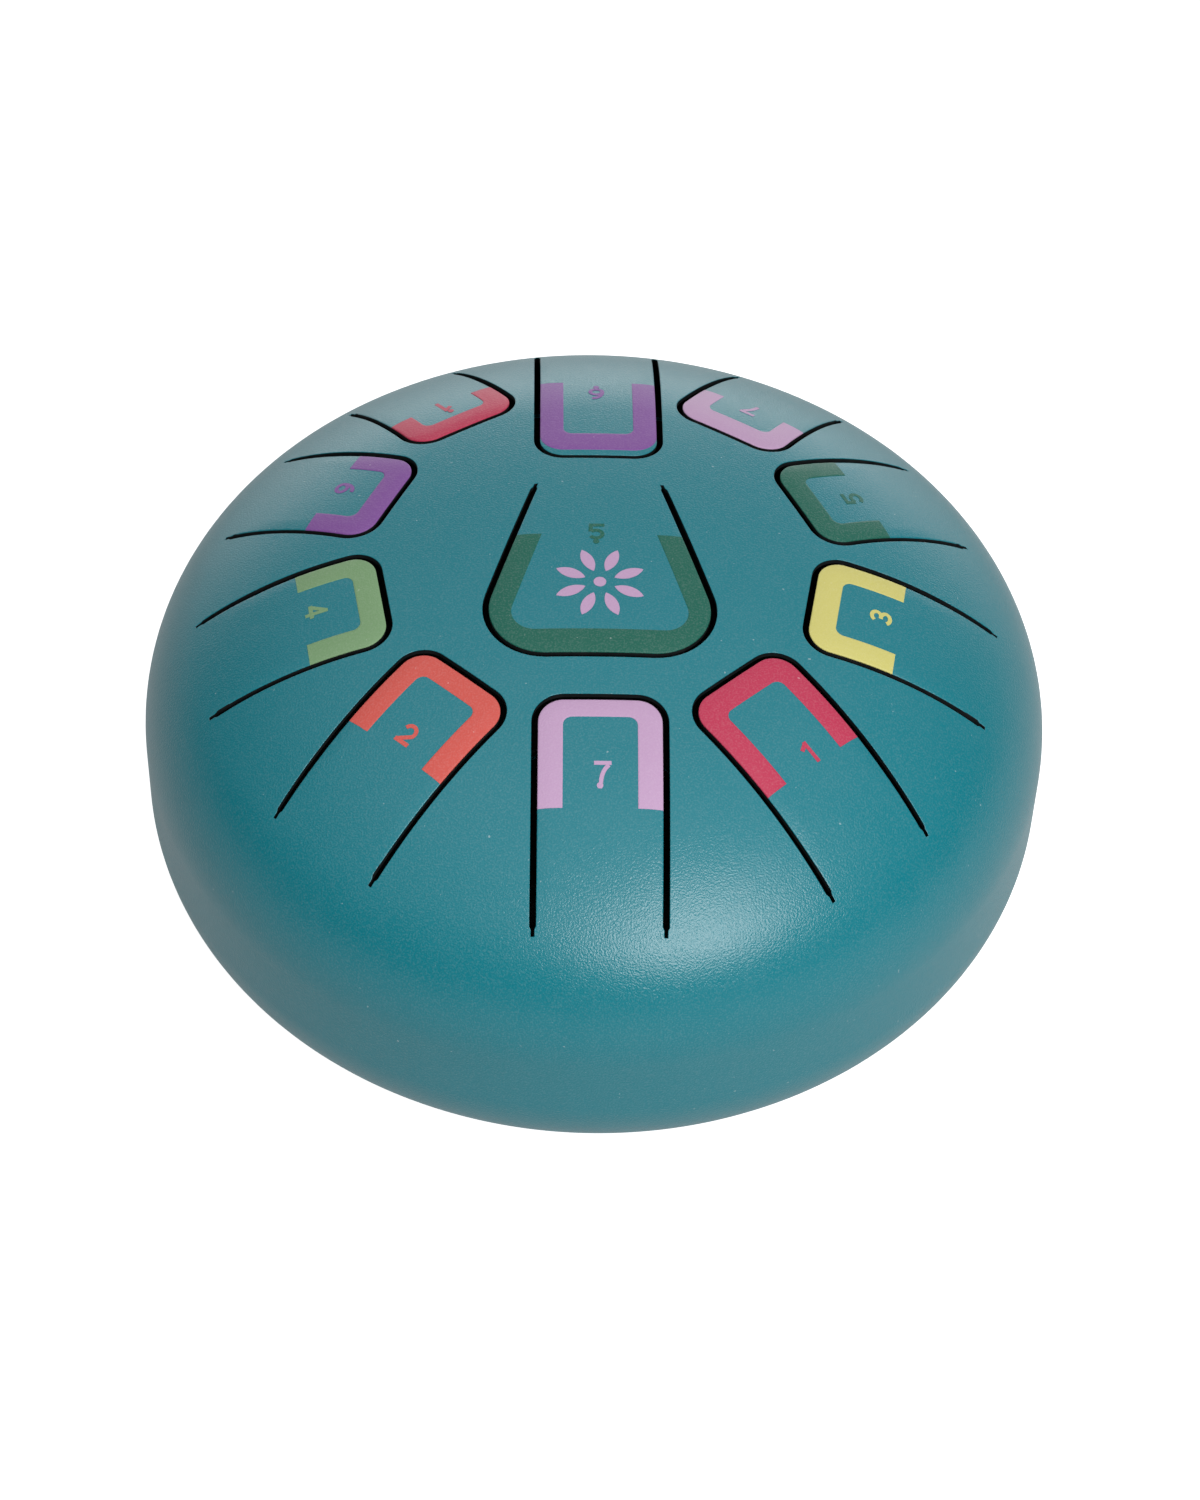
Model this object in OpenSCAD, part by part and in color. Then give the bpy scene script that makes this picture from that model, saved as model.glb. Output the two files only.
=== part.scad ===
// Steel tongue drum with eleven notes, standing on four rubber feet.
// The origin is on the floor under the drum's axis, +Z is up and the low 7 tongue points to -Y.

/* [Drum body] */
// Outside diameter of the drum
drum_d = 250; // [246:1:280]
// Thickness of the pressed steel sheet
sheet_t = 1.5; // [1.2:0.1:2]
// Distance from the axis to the edge of the crown
crown_edge = 64.5; // [58:0.5:68]
// Slope of the sheet at the edge of the crown, in degrees
crown_tilt = 10.8; // [9:0.1:13]
// Width of the rounded shoulder, seen from above
shoulder_w = 16.3; // [14:0.1:19]
// Slope of the sheet where the shoulder starts, in degrees
shoulder_tilt = 39; // [34:1:44]
// Height of the upright band round the side
side_h = 17.7; // [14:0.1:24]
// Width of the rounded corner under the side, seen from below
corner_w = 24.4; // [20:0.1:30]
// Slope of the base where that corner starts, in degrees
base_tilt = 14; // [8:1:20]
// Distance from the axis to the edge of the flat base
base_flat = 74; // [74:0.5:80]

/* [Seam] */
// Height of the joggled lip that the upper shell sits over
lip_h = 6; // [4:0.5:7]
// Clearance between that lip and the upper shell
lip_gap = 0.1; // [0.05:0.01:0.2]
// Depth of the welding groove round the seam
groove_depth = 0.8; // [0.5:0.1:1]
// Width of the welding groove at the outside
groove_w = 1.6; // [1:0.1:2.4]

/* [Sound hole] */
// Diameter of the sound hole in the base
sound_hole_d = 60; // [40:1:80]
// Bend radius of the rim turned up round the sound hole
hole_bend_r = 4; // [3:0.5:6]
// Straight height of that rim above its bend
hole_rim_h = 2; // [1:0.5:4]

/* [Tongues] */
// Width of each tongue round the rim
tongue_w = 32.4; // [30:0.1:33]
// Corner radius of those tongues
tongue_corner_r = 6.7; // [5:0.1:9]
// Width of the slots
slot_w = 1.7; // [1.2:0.1:2]
// Length of the narrow tail at the end of each slot
tail_l = 2.1; // [1:0.1:3]
// Width of that tail
tail_w = 0.9; // [0.4:0.1:1]
// Length over which a slot narrows to its tail
funnel_l = 0.7; // [0.3:0.1:0.9]
// Distance from the drum's side to the slot ends
root_in = 16.9; // [15:0.1:19]
// The same distance on the 1 tongue, whose slots are the longest
note_1_root_in = 14.5; // [14:0.1:17]
// The same distance on the four tongues right and left of the back one
back_root_in = 18.6; // [17:0.1:21]
// Distance that the slots run on past the root line of a tongue
root_back = 1; // [0.5:0.1:2]
// Clearance between a tongue and the shell along the root line
root_gap = 0.05; // [0.04:0.01:0.08]
// Distance in front of the axis of the centre tongue's tip
centre_tip = 32.6; // [31.5:0.1:33]
// Distance behind the axis of the centre tongue's slot ends
centre_slot_end = 30; // [27:0.1:30.5]
// Greatest width of the centre tongue
centre_w = 59; // [55:0.1:60]
// Corner radius of the centre tongue
centre_corner_r = 15.4; // [12:0.1:18]
// Taper of each side of the centre tongue, in degrees
centre_taper = 16.4; // [12:0.1:18]

/* [Tongue tips, as shares of the drum's radius] */
// Tip of the low 6 tongue
low_6_tip_share = 0.3416; // [0.3368:0.0008:0.3504]
// Tip of the low 7 tongue
low_7_tip_share = 0.3832; // [0.3744:0.0008:0.392]
// Tip of the 1 tongue
note_1_tip_share = 0.4208; // [0.412:0.0008:0.4296]
// Tip of the 2 tongue
note_2_tip_share = 0.4256; // [0.4168:0.0008:0.4344]
// Tip of the 3 tongue
note_3_tip_share = 0.4656; // [0.4568:0.0008:0.4744]
// Tip of the 4 tongue
note_4_tip_share = 0.4736; // [0.4648:0.0008:0.4824]
// Tip of the 5 tongue
note_5_tip_share = 0.488; // [0.4792:0.0008:0.4968]
// Tip of the 6 tongue
note_6_tip_share = 0.5008; // [0.492:0.0008:0.5096]
// Tip of the 7 tongue
note_7_tip_share = 0.5328; // [0.524:0.0008:0.5416]
// Tip of the high 1 tongue
high_1_tip_share = 0.5488; // [0.54:0.0008:0.5576]

/* [Tongue directions, in degrees from the front] */
// Tongues 1 and 2
front_diagonal_angle = 41.6; // [41.2:0.1:42]
// Tongues 3 and 4
side_angle = 80.2; // [79.6:0.1:80.6]
// Tongues 5 and 6
back_side_angle = 115.8; // [115.4:0.1:116.2]
// Tongues 7 and high 1
back_diagonal_angle = 148.2; // [147.8:0.1:148.6]

/* [Note bands] */
// Thickness of the printed film
film_t = 0.15; // [0.1:0.05:0.3]
// Width of the arms of each band
band_w = 6.5; // [5:0.1:7]
// Radius of a band's inner corners, on the tongues round the rim
band_corner_r = 2.4; // [1.6:0.1:3.2]
// The same radius on the centre band
centre_band_corner_r = 6.5; // [4:0.1:8]
// Distance from a tongue's edge to its band
band_inset = 0.15; // [0.1:0.05:0.6]
// Distance from the low 6 tongue's tip to its band, which is set back from the edge there
low_6_band_in = 2; // [0:0.1:3]
// Width of the centre band across the tip
centre_band_tip_w = 7.5; // [5:0.1:9]
// The same on the low 6 band
low_6_band_tip_w = 7.5; // [5:0.1:9]
// The same on the low 7 band
low_7_band_tip_w = 5.5; // [5:0.1:9]
// The same on the 1 band
note_1_band_tip_w = 7.1; // [5:0.1:9]
// The same on the 2 band
note_2_band_tip_w = 6.2; // [5:0.1:9]
// The same on the 3 band
note_3_band_tip_w = 7; // [5:0.1:9]
// The same on the 4 band
note_4_band_tip_w = 6.6; // [5:0.1:9]
// The same on the 5 band
note_5_band_tip_w = 6.4; // [5:0.1:9]
// The same on the 6 band
note_6_band_tip_w = 6.8; // [5:0.1:9]
// The same on the 7 band
note_7_band_tip_w = 7.3; // [5:0.1:9]
// The same on the high 1 band
high_1_band_tip_w = 6.6; // [5:0.1:9]
// Length of the arms of the centre band, from the tongue's tip
centre_arm_l = 41.9; // [38:0.1:46]
// The same on the low 6 band
low_6_arm_l = 36.6; // [35.3:0.1:40.3]
// The same on the low 7 band
low_7_arm_l = 31.5; // [28.7:0.1:33.7]
// The same on the 1 band
note_1_arm_l = 31; // [28.6:0.1:33.6]
// The same on the 2 band
note_2_arm_l = 27.2; // [24.5:0.1:29.5]
// The same on the 3 band
note_3_arm_l = 23.6; // [21.6:0.1:26.6]
// The same on the 4 band
note_4_arm_l = 21.3; // [18.9:0.1:23.9]
// The same on the 5 band
note_5_arm_l = 20.1; // [17.7:0.1:22.7]
// The same on the 6 band
note_6_arm_l = 18.6; // [16.6:0.1:21.6]
// The same on the 7 band
note_7_arm_l = 17.3; // [15.9:0.1:20.9]
// The same on the high 1 band
high_1_arm_l = 15.2; // [14:0.1:19]

/* [Numerals] */
// Height of a numeral
numeral_h = 6.1; // [5:0.1:7]
// Width of a numeral
numeral_w = 4.5; // [3.8:0.1:5]
// Width of its strokes
stroke_w = 1.1; // [0.8:0.05:1.2]
// Diameter of the octave dot
dot_d = 1.7; // [1.2:0.1:2]
// Distance of the centre numeral from the tongue's tip
centre_numeral_in = 42.7; // [40:0.1:44]
// The same for the low 6 numeral
low_6_numeral_in = 29.8; // [28.4:0.1:31.9]
// The same for the low 7 numeral
low_7_numeral_in = 21.8; // [19.7:0.1:23.2]
// The same for the 1 numeral
note_1_numeral_in = 28; // [26.2:0.1:29.7]
// The same for the 2 numeral
note_2_numeral_in = 22; // [19.9:0.1:23.4]
// The same for the 3 numeral
note_3_numeral_in = 18.3; // [16.9:0.1:20.4]
// The same for the 4 numeral
note_4_numeral_in = 17.4; // [15.7:0.1:19.2]
// The same for the 5 numeral
note_5_numeral_in = 16.9; // [14.9:0.1:18.4]
// The same for the 6 numeral
note_6_numeral_in = 15.4; // [13.7:0.1:17.2]
// The same for the 7 numeral
note_7_numeral_in = 15.9; // [14.1:0.1:17.6]
// The same for the high 1 numeral
high_1_numeral_in = 13.6; // [12.6:0.1:15.6]
// Distance of the centre numeral to the left of its tongue's middle, seen from the drum's axis
centre_numeral_aside = 0.9; // [-2:0.1:2]
// The same for the low 6 numeral
low_6_numeral_aside = 0.4; // [-2:0.1:2]
// The same for the low 7 numeral
low_7_numeral_aside = 0.6; // [-2:0.1:2]
// The same for the 1 numeral
note_1_numeral_aside = 1.2; // [-2:0.1:2]
// The same for the 2 numeral
note_2_numeral_aside = 0; // [-2:0.1:2]
// The same for the 3 numeral
note_3_numeral_aside = 1.1; // [-2:0.1:2]
// The same for the 4 numeral
note_4_numeral_aside = -1; // [-2:0.1:2]
// The same for the 5 numeral
note_5_numeral_aside = -0.5; // [-2:0.1:2]
// The same for the 6 numeral
note_6_numeral_aside = -1.1; // [-2:0.1:2]
// The same for the 7 numeral
note_7_numeral_aside = 0; // [-2:0.1:2]
// The same for the high 1 numeral
high_1_numeral_aside = 0; // [-2:0.1:2]

/* [Rosette on the centre tongue] */
// Distance of the rosette's centre from the tongue's tip
rosette_in = 23.9; // [21:0.1:25]
// Distance from its centre to the outer ends of the petals
petal_reach = 12.6; // [10:0.1:13]
// Length of a petal
petal_l = 8.4; // [6:0.1:9]
// Width of a petal
petal_w = 3.3; // [2:0.1:4]
// Diameter of the round bud in the middle
bud_d = 3.4; // [2:0.1:5]
// Number of petals
petal_count = 8; // [6:1:9]

/* [Feet] */
// Height of a rubber foot
foot_h = 9; // [8:0.5:14]
// Diameter of a foot at its top
foot_d = 18; // [17:0.5:19]
// Diameter of a foot at the floor
foot_floor_d = 15.5; // [14:0.5:17]
// Distance from the drum's axis to a foot's axis
foot_at = 64; // [62:0.5:64.5]
// Diameter of the recess for the screw head
recess_d = 10; // [9.4:0.1:11]
// Thickness of rubber between the washer and the drum
foot_web = 3; // [2:0.1:4]

/* [Foot fasteners] */
// Diameter of the foot screws
screw_d = 4; // [3.5:0.1:5]
// Clearance round a screw, on its diameter
screw_clearance = 0.4; // [0.2:0.1:0.8]
// Clearance between a screw and its nut, on its diameter
thread_clearance = 0.1; // [0.05:0.01:0.2]
// Length by which a screw stands out of its nut
screw_proud = 1.2; // [0.5:0.1:3]
// Diameter of a screw head
head_d = 7.6; // [7:0.1:8]
// Height of a screw head
head_h = 2.4; // [2:0.1:3]
// Width of each arm of the driving recess in a screw head
drive_w = 1; // [0.8:0.1:1.4]
// Length of the driving recess across a screw head
drive_l = 4.4; // [3:0.1:5]
// Depth of the driving recess
drive_depth = 1.4; // [0.8:0.1:1.8]
// Diameter of a washer
washer_d = 9; // [8.5:0.1:9.2]
// Thickness of a washer
washer_t = 0.8; // [0.5:0.1:1]
// Width of a nut across its flats
nut_flats = 7; // [6.5:0.1:8]
// Height of a nut
nut_h = 3.2; // [2.5:0.1:4]

/* [Hidden] */
OUTER = ["low_6", "low_7", "1", "2", "3", "4", "5", "6", "7", "high_1"];
NOTES = concat(["low_5"], OUTER);
FEET = ["front_right", "back_right", "back_left", "front_left"];
$fn = 48;

// Colours
teal = "#26808c";
lilac = "#cda5d0";
crimson = "#d0415c";
yellow = "#dad473";
dark_green = "#467d69";
purple = "#8c5ca0";
light_green = "#8cb276";
coral = "#de625c";

// Number of straight steps that each rounded stretch is drawn with
crown_steps = 4;
slope_steps = 9;
shoulder_steps = 12;
base_steps = 5;
corner_steps = 14;
bend_steps = 6;
tongue_corner_steps = 6;
stroke_steps = 10;
// Overrun of every cut past the faces that it goes through
overrun = 2 * sheet_t;

// Arcs of the outer surface: each runs from one slope to the next, so they meet in line
drum_r = drum_d / 2;
shoulder_start = drum_r - shoulder_w;
crown_r = crown_edge / sin(crown_tilt);
slope_r = (shoulder_start - crown_edge) / (sin(shoulder_tilt) - sin(crown_tilt));
shoulder_r = shoulder_w / (1 - sin(shoulder_tilt));
corner_start = drum_r - corner_w;
corner_r = corner_w / (1 - sin(base_tilt));
base_r = (corner_start - base_flat) / sin(base_tilt);

// Heights above the floor
base_z = foot_h;
corner_z = base_z + base_r - (base_r - corner_r) * cos(base_tilt);
side_top_z = corner_z + side_h;
seam_z = corner_z + side_h / 2;
slope_centre_z = side_top_z - (slope_r - shoulder_r) * cos(shoulder_tilt);
crown_centre_z = slope_centre_z - (crown_r - slope_r) * cos(crown_tilt);
top_z = crown_centre_z + crown_r;

// Tongues
half_w = tongue_w / 2;
slot_end = drum_r - root_in;
note_1_slot_end = drum_r - note_1_root_in;
back_slot_end = drum_r - back_root_in;

// Foot fasteners
washer_z = base_z - foot_web - washer_t;
nut_z = base_z + sheet_t;
hole_d = screw_d + screw_clearance;

// Columns of the table of tongues
ANGLE = 0;
TIP = 1;
SLOT_END = 2;
HALF_W = 3;
CORNER = 4;
TAPER = 5;
BAND = 6;
NUMERAL = 7;
DIGIT = 8;
OCTAVE = 9;
COLOUR = 10;
half_turn = 180;
quarter_turn = 90;

// Columns of a band: its distance from the tip, its width there, its inner corner, its arms' length
BAND_IN = 0;
BAND_TIP_W = 1;
BAND_CORNER = 2;
BAND_ARM_L = 3;

// A band on the rim whose film starts at the tip's edge
function edge_band(tip_w, arm_l) = [0, tip_w, band_corner_r, arm_l];

// A tongue that points inwards from the rim, at an angle from the front
function rim_tongue(angle, tip_share, end, band, numeral, digit, octave, colour) =
    [angle - quarter_turn, tip_share * drum_r, end, half_w, tongue_corner_r, 0,
        band, numeral, digit, octave, colour];

// A numeral's place is its distance from the tongue's tip and from the tongue's middle
TONGUES = [
    [quarter_turn, -centre_tip, centre_slot_end, centre_w / 2, centre_corner_r, centre_taper,
        [0, centre_band_tip_w, centre_band_corner_r, centre_arm_l],
        [centre_numeral_in, centre_numeral_aside], 5, -1, dark_green],
    rim_tongue(half_turn, low_6_tip_share, slot_end,
        [low_6_band_in, low_6_band_tip_w, band_corner_r, low_6_arm_l],
        [low_6_numeral_in, low_6_numeral_aside], 6, -1, purple),
    rim_tongue(0, low_7_tip_share, slot_end, edge_band(low_7_band_tip_w, low_7_arm_l),
        [low_7_numeral_in, low_7_numeral_aside], 7, -1, lilac),
    rim_tongue(front_diagonal_angle, note_1_tip_share, note_1_slot_end,
        edge_band(note_1_band_tip_w, note_1_arm_l),
        [note_1_numeral_in, note_1_numeral_aside], 1, 0, crimson),
    rim_tongue(-front_diagonal_angle, note_2_tip_share, slot_end,
        edge_band(note_2_band_tip_w, note_2_arm_l),
        [note_2_numeral_in, note_2_numeral_aside], 2, 0, coral),
    rim_tongue(side_angle, note_3_tip_share, slot_end, edge_band(note_3_band_tip_w, note_3_arm_l),
        [note_3_numeral_in, note_3_numeral_aside], 3, 0, yellow),
    rim_tongue(-side_angle, note_4_tip_share, slot_end, edge_band(note_4_band_tip_w, note_4_arm_l),
        [note_4_numeral_in, note_4_numeral_aside], 4, 0, light_green),
    rim_tongue(back_side_angle, note_5_tip_share, back_slot_end,
        edge_band(note_5_band_tip_w, note_5_arm_l),
        [note_5_numeral_in, note_5_numeral_aside], 5, 0, dark_green),
    rim_tongue(-back_side_angle, note_6_tip_share, back_slot_end,
        edge_band(note_6_band_tip_w, note_6_arm_l),
        [note_6_numeral_in, note_6_numeral_aside], 6, 0, purple),
    rim_tongue(back_diagonal_angle, note_7_tip_share, back_slot_end,
        edge_band(note_7_band_tip_w, note_7_arm_l),
        [note_7_numeral_in, note_7_numeral_aside], 7, 0, lilac),
    rim_tongue(-back_diagonal_angle, high_1_tip_share, back_slot_end,
        edge_band(high_1_band_tip_w, high_1_arm_l),
        [high_1_numeral_in, high_1_numeral_aside], 1, 1, crimson)
];

// Points of an arc about [x, z], between two slopes in degrees from level
function arc(x, z, r, from, to, steps) =
    [for (i = [0:steps]) let (a = from + (to - from) * i / steps) [x + r * sin(a), z + r * cos(a)]];
function without_first(list) = [for (i = [1:len(list) - 1]) list[i]];
function reversed(list) = [for (i = [len(list) - 1:-1:0]) list[i]];
function mirrored(list) = [for (p = reversed(list)) [p[0], -p[1]]];

// Section of the surface at an offset from the outside, from the axis down to the side
function top_section(offset) = concat(
    arc(0, crown_centre_z, crown_r + offset, 0, crown_tilt, crown_steps),
    without_first(arc(crown_edge - slope_r * sin(crown_tilt), slope_centre_z, slope_r + offset,
        crown_tilt, shoulder_tilt, slope_steps)),
    without_first(arc(drum_r - shoulder_r, side_top_z, shoulder_r + offset,
        shoulder_tilt, quarter_turn, shoulder_steps))
);

// Section of the base, from the side down to the flat
function base_section(offset) = concat(
    arc(drum_r - corner_r, corner_z, corner_r + offset,
        quarter_turn, half_turn - base_tilt, corner_steps),
    without_first(arc(base_flat, base_z + base_r, base_r + offset,
        half_turn - base_tilt, half_turn, base_steps))
);

// Section of the rim turned up round the sound hole, from the flat to its bend's top
function hole_section(offset) =
    arc(sound_hole_d / 2 + hole_bend_r, base_z + hole_bend_r, hole_bend_r + offset,
        half_turn, half_turn + quarter_turn, bend_steps);

module revolve(points) {
    rotate_extrude() polygon(points);
}

// Half of the outline of a tongue, grown by a distance, from its root line to its tip
function side_y(t, x, grow) =
    t[HALF_W] - t[CORNER] + (t[CORNER] + grow) * cos(t[TAPER])
    - (x - t[TIP] - t[CORNER] - (t[CORNER] + grow) * sin(t[TAPER])) * tan(t[TAPER]);
function half_outline(t, end, grow) = concat(
    [[end, side_y(t, end, grow)]],
    arc(t[TIP] + t[CORNER], t[HALF_W] - t[CORNER], t[CORNER] + grow,
        t[TAPER], -quarter_turn, tongue_corner_steps)
);
function root(t) = t[SLOT_END] - tail_l - root_back;

// Half of the opening in the shell: the room of the tongue, its slots and their tails
function half_opening(t) =
    let (
        wide_end = t[SLOT_END] - tail_l,
        tail_in = (slot_w - tail_w) / 2,
        tail_out = (slot_w + tail_w) / 2
    )
    concat(
        [
            [root(t) + root_gap, side_y(t, root(t) + root_gap, 0)],
            [wide_end, side_y(t, wide_end, 0)],
            [wide_end + funnel_l, side_y(t, wide_end + funnel_l, tail_in)],
            [t[SLOT_END], side_y(t, t[SLOT_END], tail_in)],
            [t[SLOT_END], side_y(t, t[SLOT_END], tail_out)],
            [wide_end + funnel_l, side_y(t, wide_end + funnel_l, tail_out)]
        ],
        half_outline(t, wide_end, slot_w)
    );

// An upright prism in the direction of a tongue, through the whole upper shell
module tongue_prism(t) {
    rotate([0, 0, t[ANGLE]])
        translate([0, 0, side_top_z])
            linear_extrude(top_z - side_top_z + overrun) children();
}

module upper_shell() {
    color(teal)
        difference() {
            revolve(concat(
                top_section(0),
                [
                    [drum_r, seam_z + groove_w / 2],
                    [drum_r - groove_depth, seam_z],
                    [drum_r - sheet_t, seam_z]
                ],
                reversed(top_section(-sheet_t))
            ));
            for (t = TONGUES)
                tongue_prism(t)
                    let (half = half_opening(t)) polygon(concat(half, mirrored(half)));
        }
}

module tongue(t) {
    color(teal)
        intersection() {
            revolve(concat(top_section(0), reversed(top_section(-sheet_t))));
            tongue_prism(t)
                let (half = half_outline(t, root(t), 0)) polygon(concat(half, mirrored(half)));
        }
}

module lower_shell() {
    lip_r = drum_r - sheet_t - lip_gap;
    color(teal)
        difference() {
            revolve(concat(
                [
                    [lip_r - sheet_t, seam_z + lip_h],
                    [lip_r, seam_z + lip_h],
                    [lip_r, seam_z],
                    [drum_r - groove_depth, seam_z],
                    [drum_r, seam_z - groove_w / 2]
                ],
                base_section(0),
                hole_section(0),
                [
                    [sound_hole_d / 2, base_z + hole_bend_r + hole_rim_h],
                    [sound_hole_d / 2 + sheet_t, base_z + hole_bend_r + hole_rim_h]
                ],
                reversed(hole_section(-sheet_t)),
                reversed(base_section(-sheet_t)),
                [
                    [drum_r - sheet_t, seam_z - 2 * sheet_t],
                    [lip_r - sheet_t, seam_z - sheet_t]
                ]
            ));
            at_feet()
                translate([0, 0, base_z - overrun])
                    cylinder(h = sheet_t + 2 * overrun, d = hole_d);
        }
}

// The bead that fills the groove round the seam, ground flush
module seam_weld() {
    color(teal)
        revolve([
            [drum_r, seam_z + groove_w / 2],
            [drum_r - groove_depth, seam_z],
            [drum_r, seam_z - groove_w / 2]
        ]);
}

// A thin film on the upper surface, cut to the outline of its children
module film(t, colour) {
    color(colour)
        intersection() {
            revolve(concat(top_section(film_t), reversed(top_section(0))));
            tongue_prism(t) children();
        }
}

// A tongue whose tip is moved towards its root
function set_back(t, by) = [for (i = [0:len(t) - 1]) i == TIP ? t[i] + by : t[i]];

// Half of a band's inner outline, from a place past its arms to its tip
function inner_outline(t, end) =
    let (
        r = t[BAND][BAND_CORNER],
        x = t[TIP] + t[BAND][BAND_TIP_W] + r
    )
    concat(
        [[end, side_y(t, end, -band_w)]],
        arc(x, side_y(t, x, -band_w) - r / cos(t[TAPER]), r, t[TAPER], -quarter_turn, tongue_corner_steps)
    );

module band(t) {
    arm_end = t[TIP] + t[BAND][BAND_ARM_L];
    place = set_back(t, t[BAND][BAND_IN]);
    outer = half_outline(place, arm_end, -band_inset);
    // The inner outline runs past the band's ends, so that the band is open towards the root
    inner = inner_outline(place, arm_end + overrun);
    film(t, t[COLOUR])
        difference() {
            polygon(concat(outer, mirrored(outer)));
            polygon(concat(inner, mirrored(inner)));
        }
}

// A straight stroke with square ends
module stroke(from, to) {
    run = to - from;
    translate(from)
        rotate(atan2(run[1], run[0]))
            translate([0, -half_stroke])
                square([norm(run), stroke_w]);
}

// Points along an oval grown all round by a distance, between two angles in degrees
function oval(centre, radii, from, to, grow) =
    [for (i = [0:stroke_steps])
        let (a = from + (to - from) * i / stroke_steps)
            centre + [(radii[0] + grow) * cos(a), (radii[1] + grow) * sin(a)]];

// A curved stroke along an oval
module curve(centre, radii, from, to) {
    polygon(concat(
        oval(centre, radii, from, to, half_stroke),
        oval(centre, radii, to, from, -half_stroke)
    ));
}

// A digit is drawn about its own centre. Its strokes run to this far across and up, at their middle.
across = (numeral_w - stroke_w) / 2;
up = (numeral_h - stroke_w) / 2;
half_stroke = stroke_w / 2;
// Height of the middle of the round part of the 5 and the 6, and of the crossbar of the 4
low_share = -0.4;
crossbar_share = -0.55;
// Part of the dot's diameter that separates its centre from the numeral
dot_share = 0.45;
// Place across the 7 of its octave dot, which lies at the side of its foot
foot_share = -0.4;

// A point of a digit, or the radii of an oval, as shares of the distances across and up
function at(x_share, y_share) = [x_share * across, y_share * up];

module digit_1() {
    stroke(at(0.45, -1) - [0, half_stroke], at(0.45, 1) + [0, half_stroke]);
    stroke(at(-0.75, 0.5), at(0.45, 1));
}

module digit_2() {
    hook = [0, up - across];
    radii = [across, across];
    curve(hook, radii, -40, 165);
    stroke(oval(hook, radii, -32, -32, 0)[0], at(-1, -1));
    stroke(at(-1, -1) - [half_stroke, 0], at(1, -1) + [half_stroke, 0]);
}

module digit_3() {
    curve(at(0, 0.5), at(0.92, 0.5), -quarter_turn, 160);
    curve(at(0, -0.5), at(1, 0.5), -160, quarter_turn);
    stroke(at(-0.3, 0), [half_stroke, 0]);
}

module digit_4() {
    stroke(at(0.5, -1) - [0, half_stroke], at(0.5, 1) + [0, half_stroke]);
    stroke(at(0.5, 1), at(-1, crossbar_share));
    stroke(at(-1, crossbar_share) - [half_stroke, 0], at(1, crossbar_share) + [half_stroke, 0]);
}

module digit_5() {
    stroke(at(-1, 1), at(1, 1) + [half_stroke, 0]);
    stroke(at(-0.8, 1) + [0, half_stroke], at(-0.9, 0));
    curve(at(0, low_share), at(1, 1 + low_share), -150, 140);
}

// The outline runs round the bowl, up the inside of the stem and down its outside
module digit_6() {
    bowl = at(0, low_share);
    bowl_radii = at(1, 1 + low_share);
    stem = at(0.5, low_share);
    stem_radii = at(1.5, 1 - low_share);
    difference() {
        polygon(concat(
            oval(bowl, bowl_radii, half_turn, 460, half_stroke),
            oval(stem, stem_radii, 124, 82, -half_stroke),
            oval(stem, stem_radii, 82, 172, half_stroke)
        ));
        polygon(oval(bowl, bowl_radii, 18, 2 * half_turn, -half_stroke));
    }
}

module digit_7() {
    stroke(at(-1, 1) - [half_stroke, 0], at(1, 1) + [half_stroke, 0]);
    curve(at(2.27, -1.2), at(2.52, 2.3), 122, 181);
}

module digit(value) {
    if (value == 1) digit_1();
    if (value == 2) digit_2();
    if (value == 3) digit_3();
    if (value == 4) digit_4();
    if (value == 5) digit_5();
    if (value == 6) digit_6();
    if (value == 7) digit_7();
}

// The numeral has its top towards the drum's axis, apart from the centre one
module numeral(t) {
    facing = t[TIP] < 0 ? -quarter_turn : quarter_turn;
    dot_x = t[DIGIT] == 7 ? foot_share * across : 0;
    film(t, t[COLOUR])
        translate([t[TIP], 0] + t[NUMERAL])
            rotate(facing) {
                digit(t[DIGIT]);
                if (t[OCTAVE] != 0)
                    translate([dot_x, t[OCTAVE] * (numeral_h / 2 + dot_share * dot_d)])
                        circle(d = dot_d);
            }
}

// A petal is the lens that two circles share
module petal() {
    lens_r = (petal_l * petal_l + petal_w * petal_w) / (4 * petal_w);
    translate([petal_reach - petal_l / 2, 0])
        intersection() {
            translate([0, lens_r - petal_w / 2]) circle(r = lens_r);
            translate([0, petal_w / 2 - lens_r]) circle(r = lens_r);
        }
}

module centre_rosette() {
    film(TONGUES[0], lilac)
        translate([rosette_in - centre_tip, 0]) {
            circle(d = bud_d);
            for (i = [0:petal_count - 1])
                rotate((i + 0.5) * 2 * half_turn / petal_count) petal();
        }
}

// Direction of a foot, counted from the front right
function foot_angle(i) = (i - 0.5) * quarter_turn;

module at_feet() {
    for (i = [0:len(FEET) - 1])
        rotate([0, 0, foot_angle(i)])
            translate([foot_at, 0, 0]) children();
}

module rubber_foot(i) {
    recess_top = washer_z + washer_t;
    color("#222222")
        rotate([0, 0, foot_angle(i)])
            translate([foot_at, 0, 0])
                difference() {
                    cylinder(h = foot_h, d1 = foot_floor_d, d2 = foot_d);
                    translate([0, 0, -overrun]) cylinder(h = recess_top + overrun, d = recess_d);
                    cylinder(h = foot_h + overrun, d = hole_d);
                }
}

module foot_washers() {
    color("silver")
        at_feet()
            translate([0, 0, washer_z])
                difference() {
                    cylinder(h = washer_t, d = washer_d);
                    translate([0, 0, -overrun]) cylinder(h = washer_t + 2 * overrun, d = hole_d);
                }
}

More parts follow.
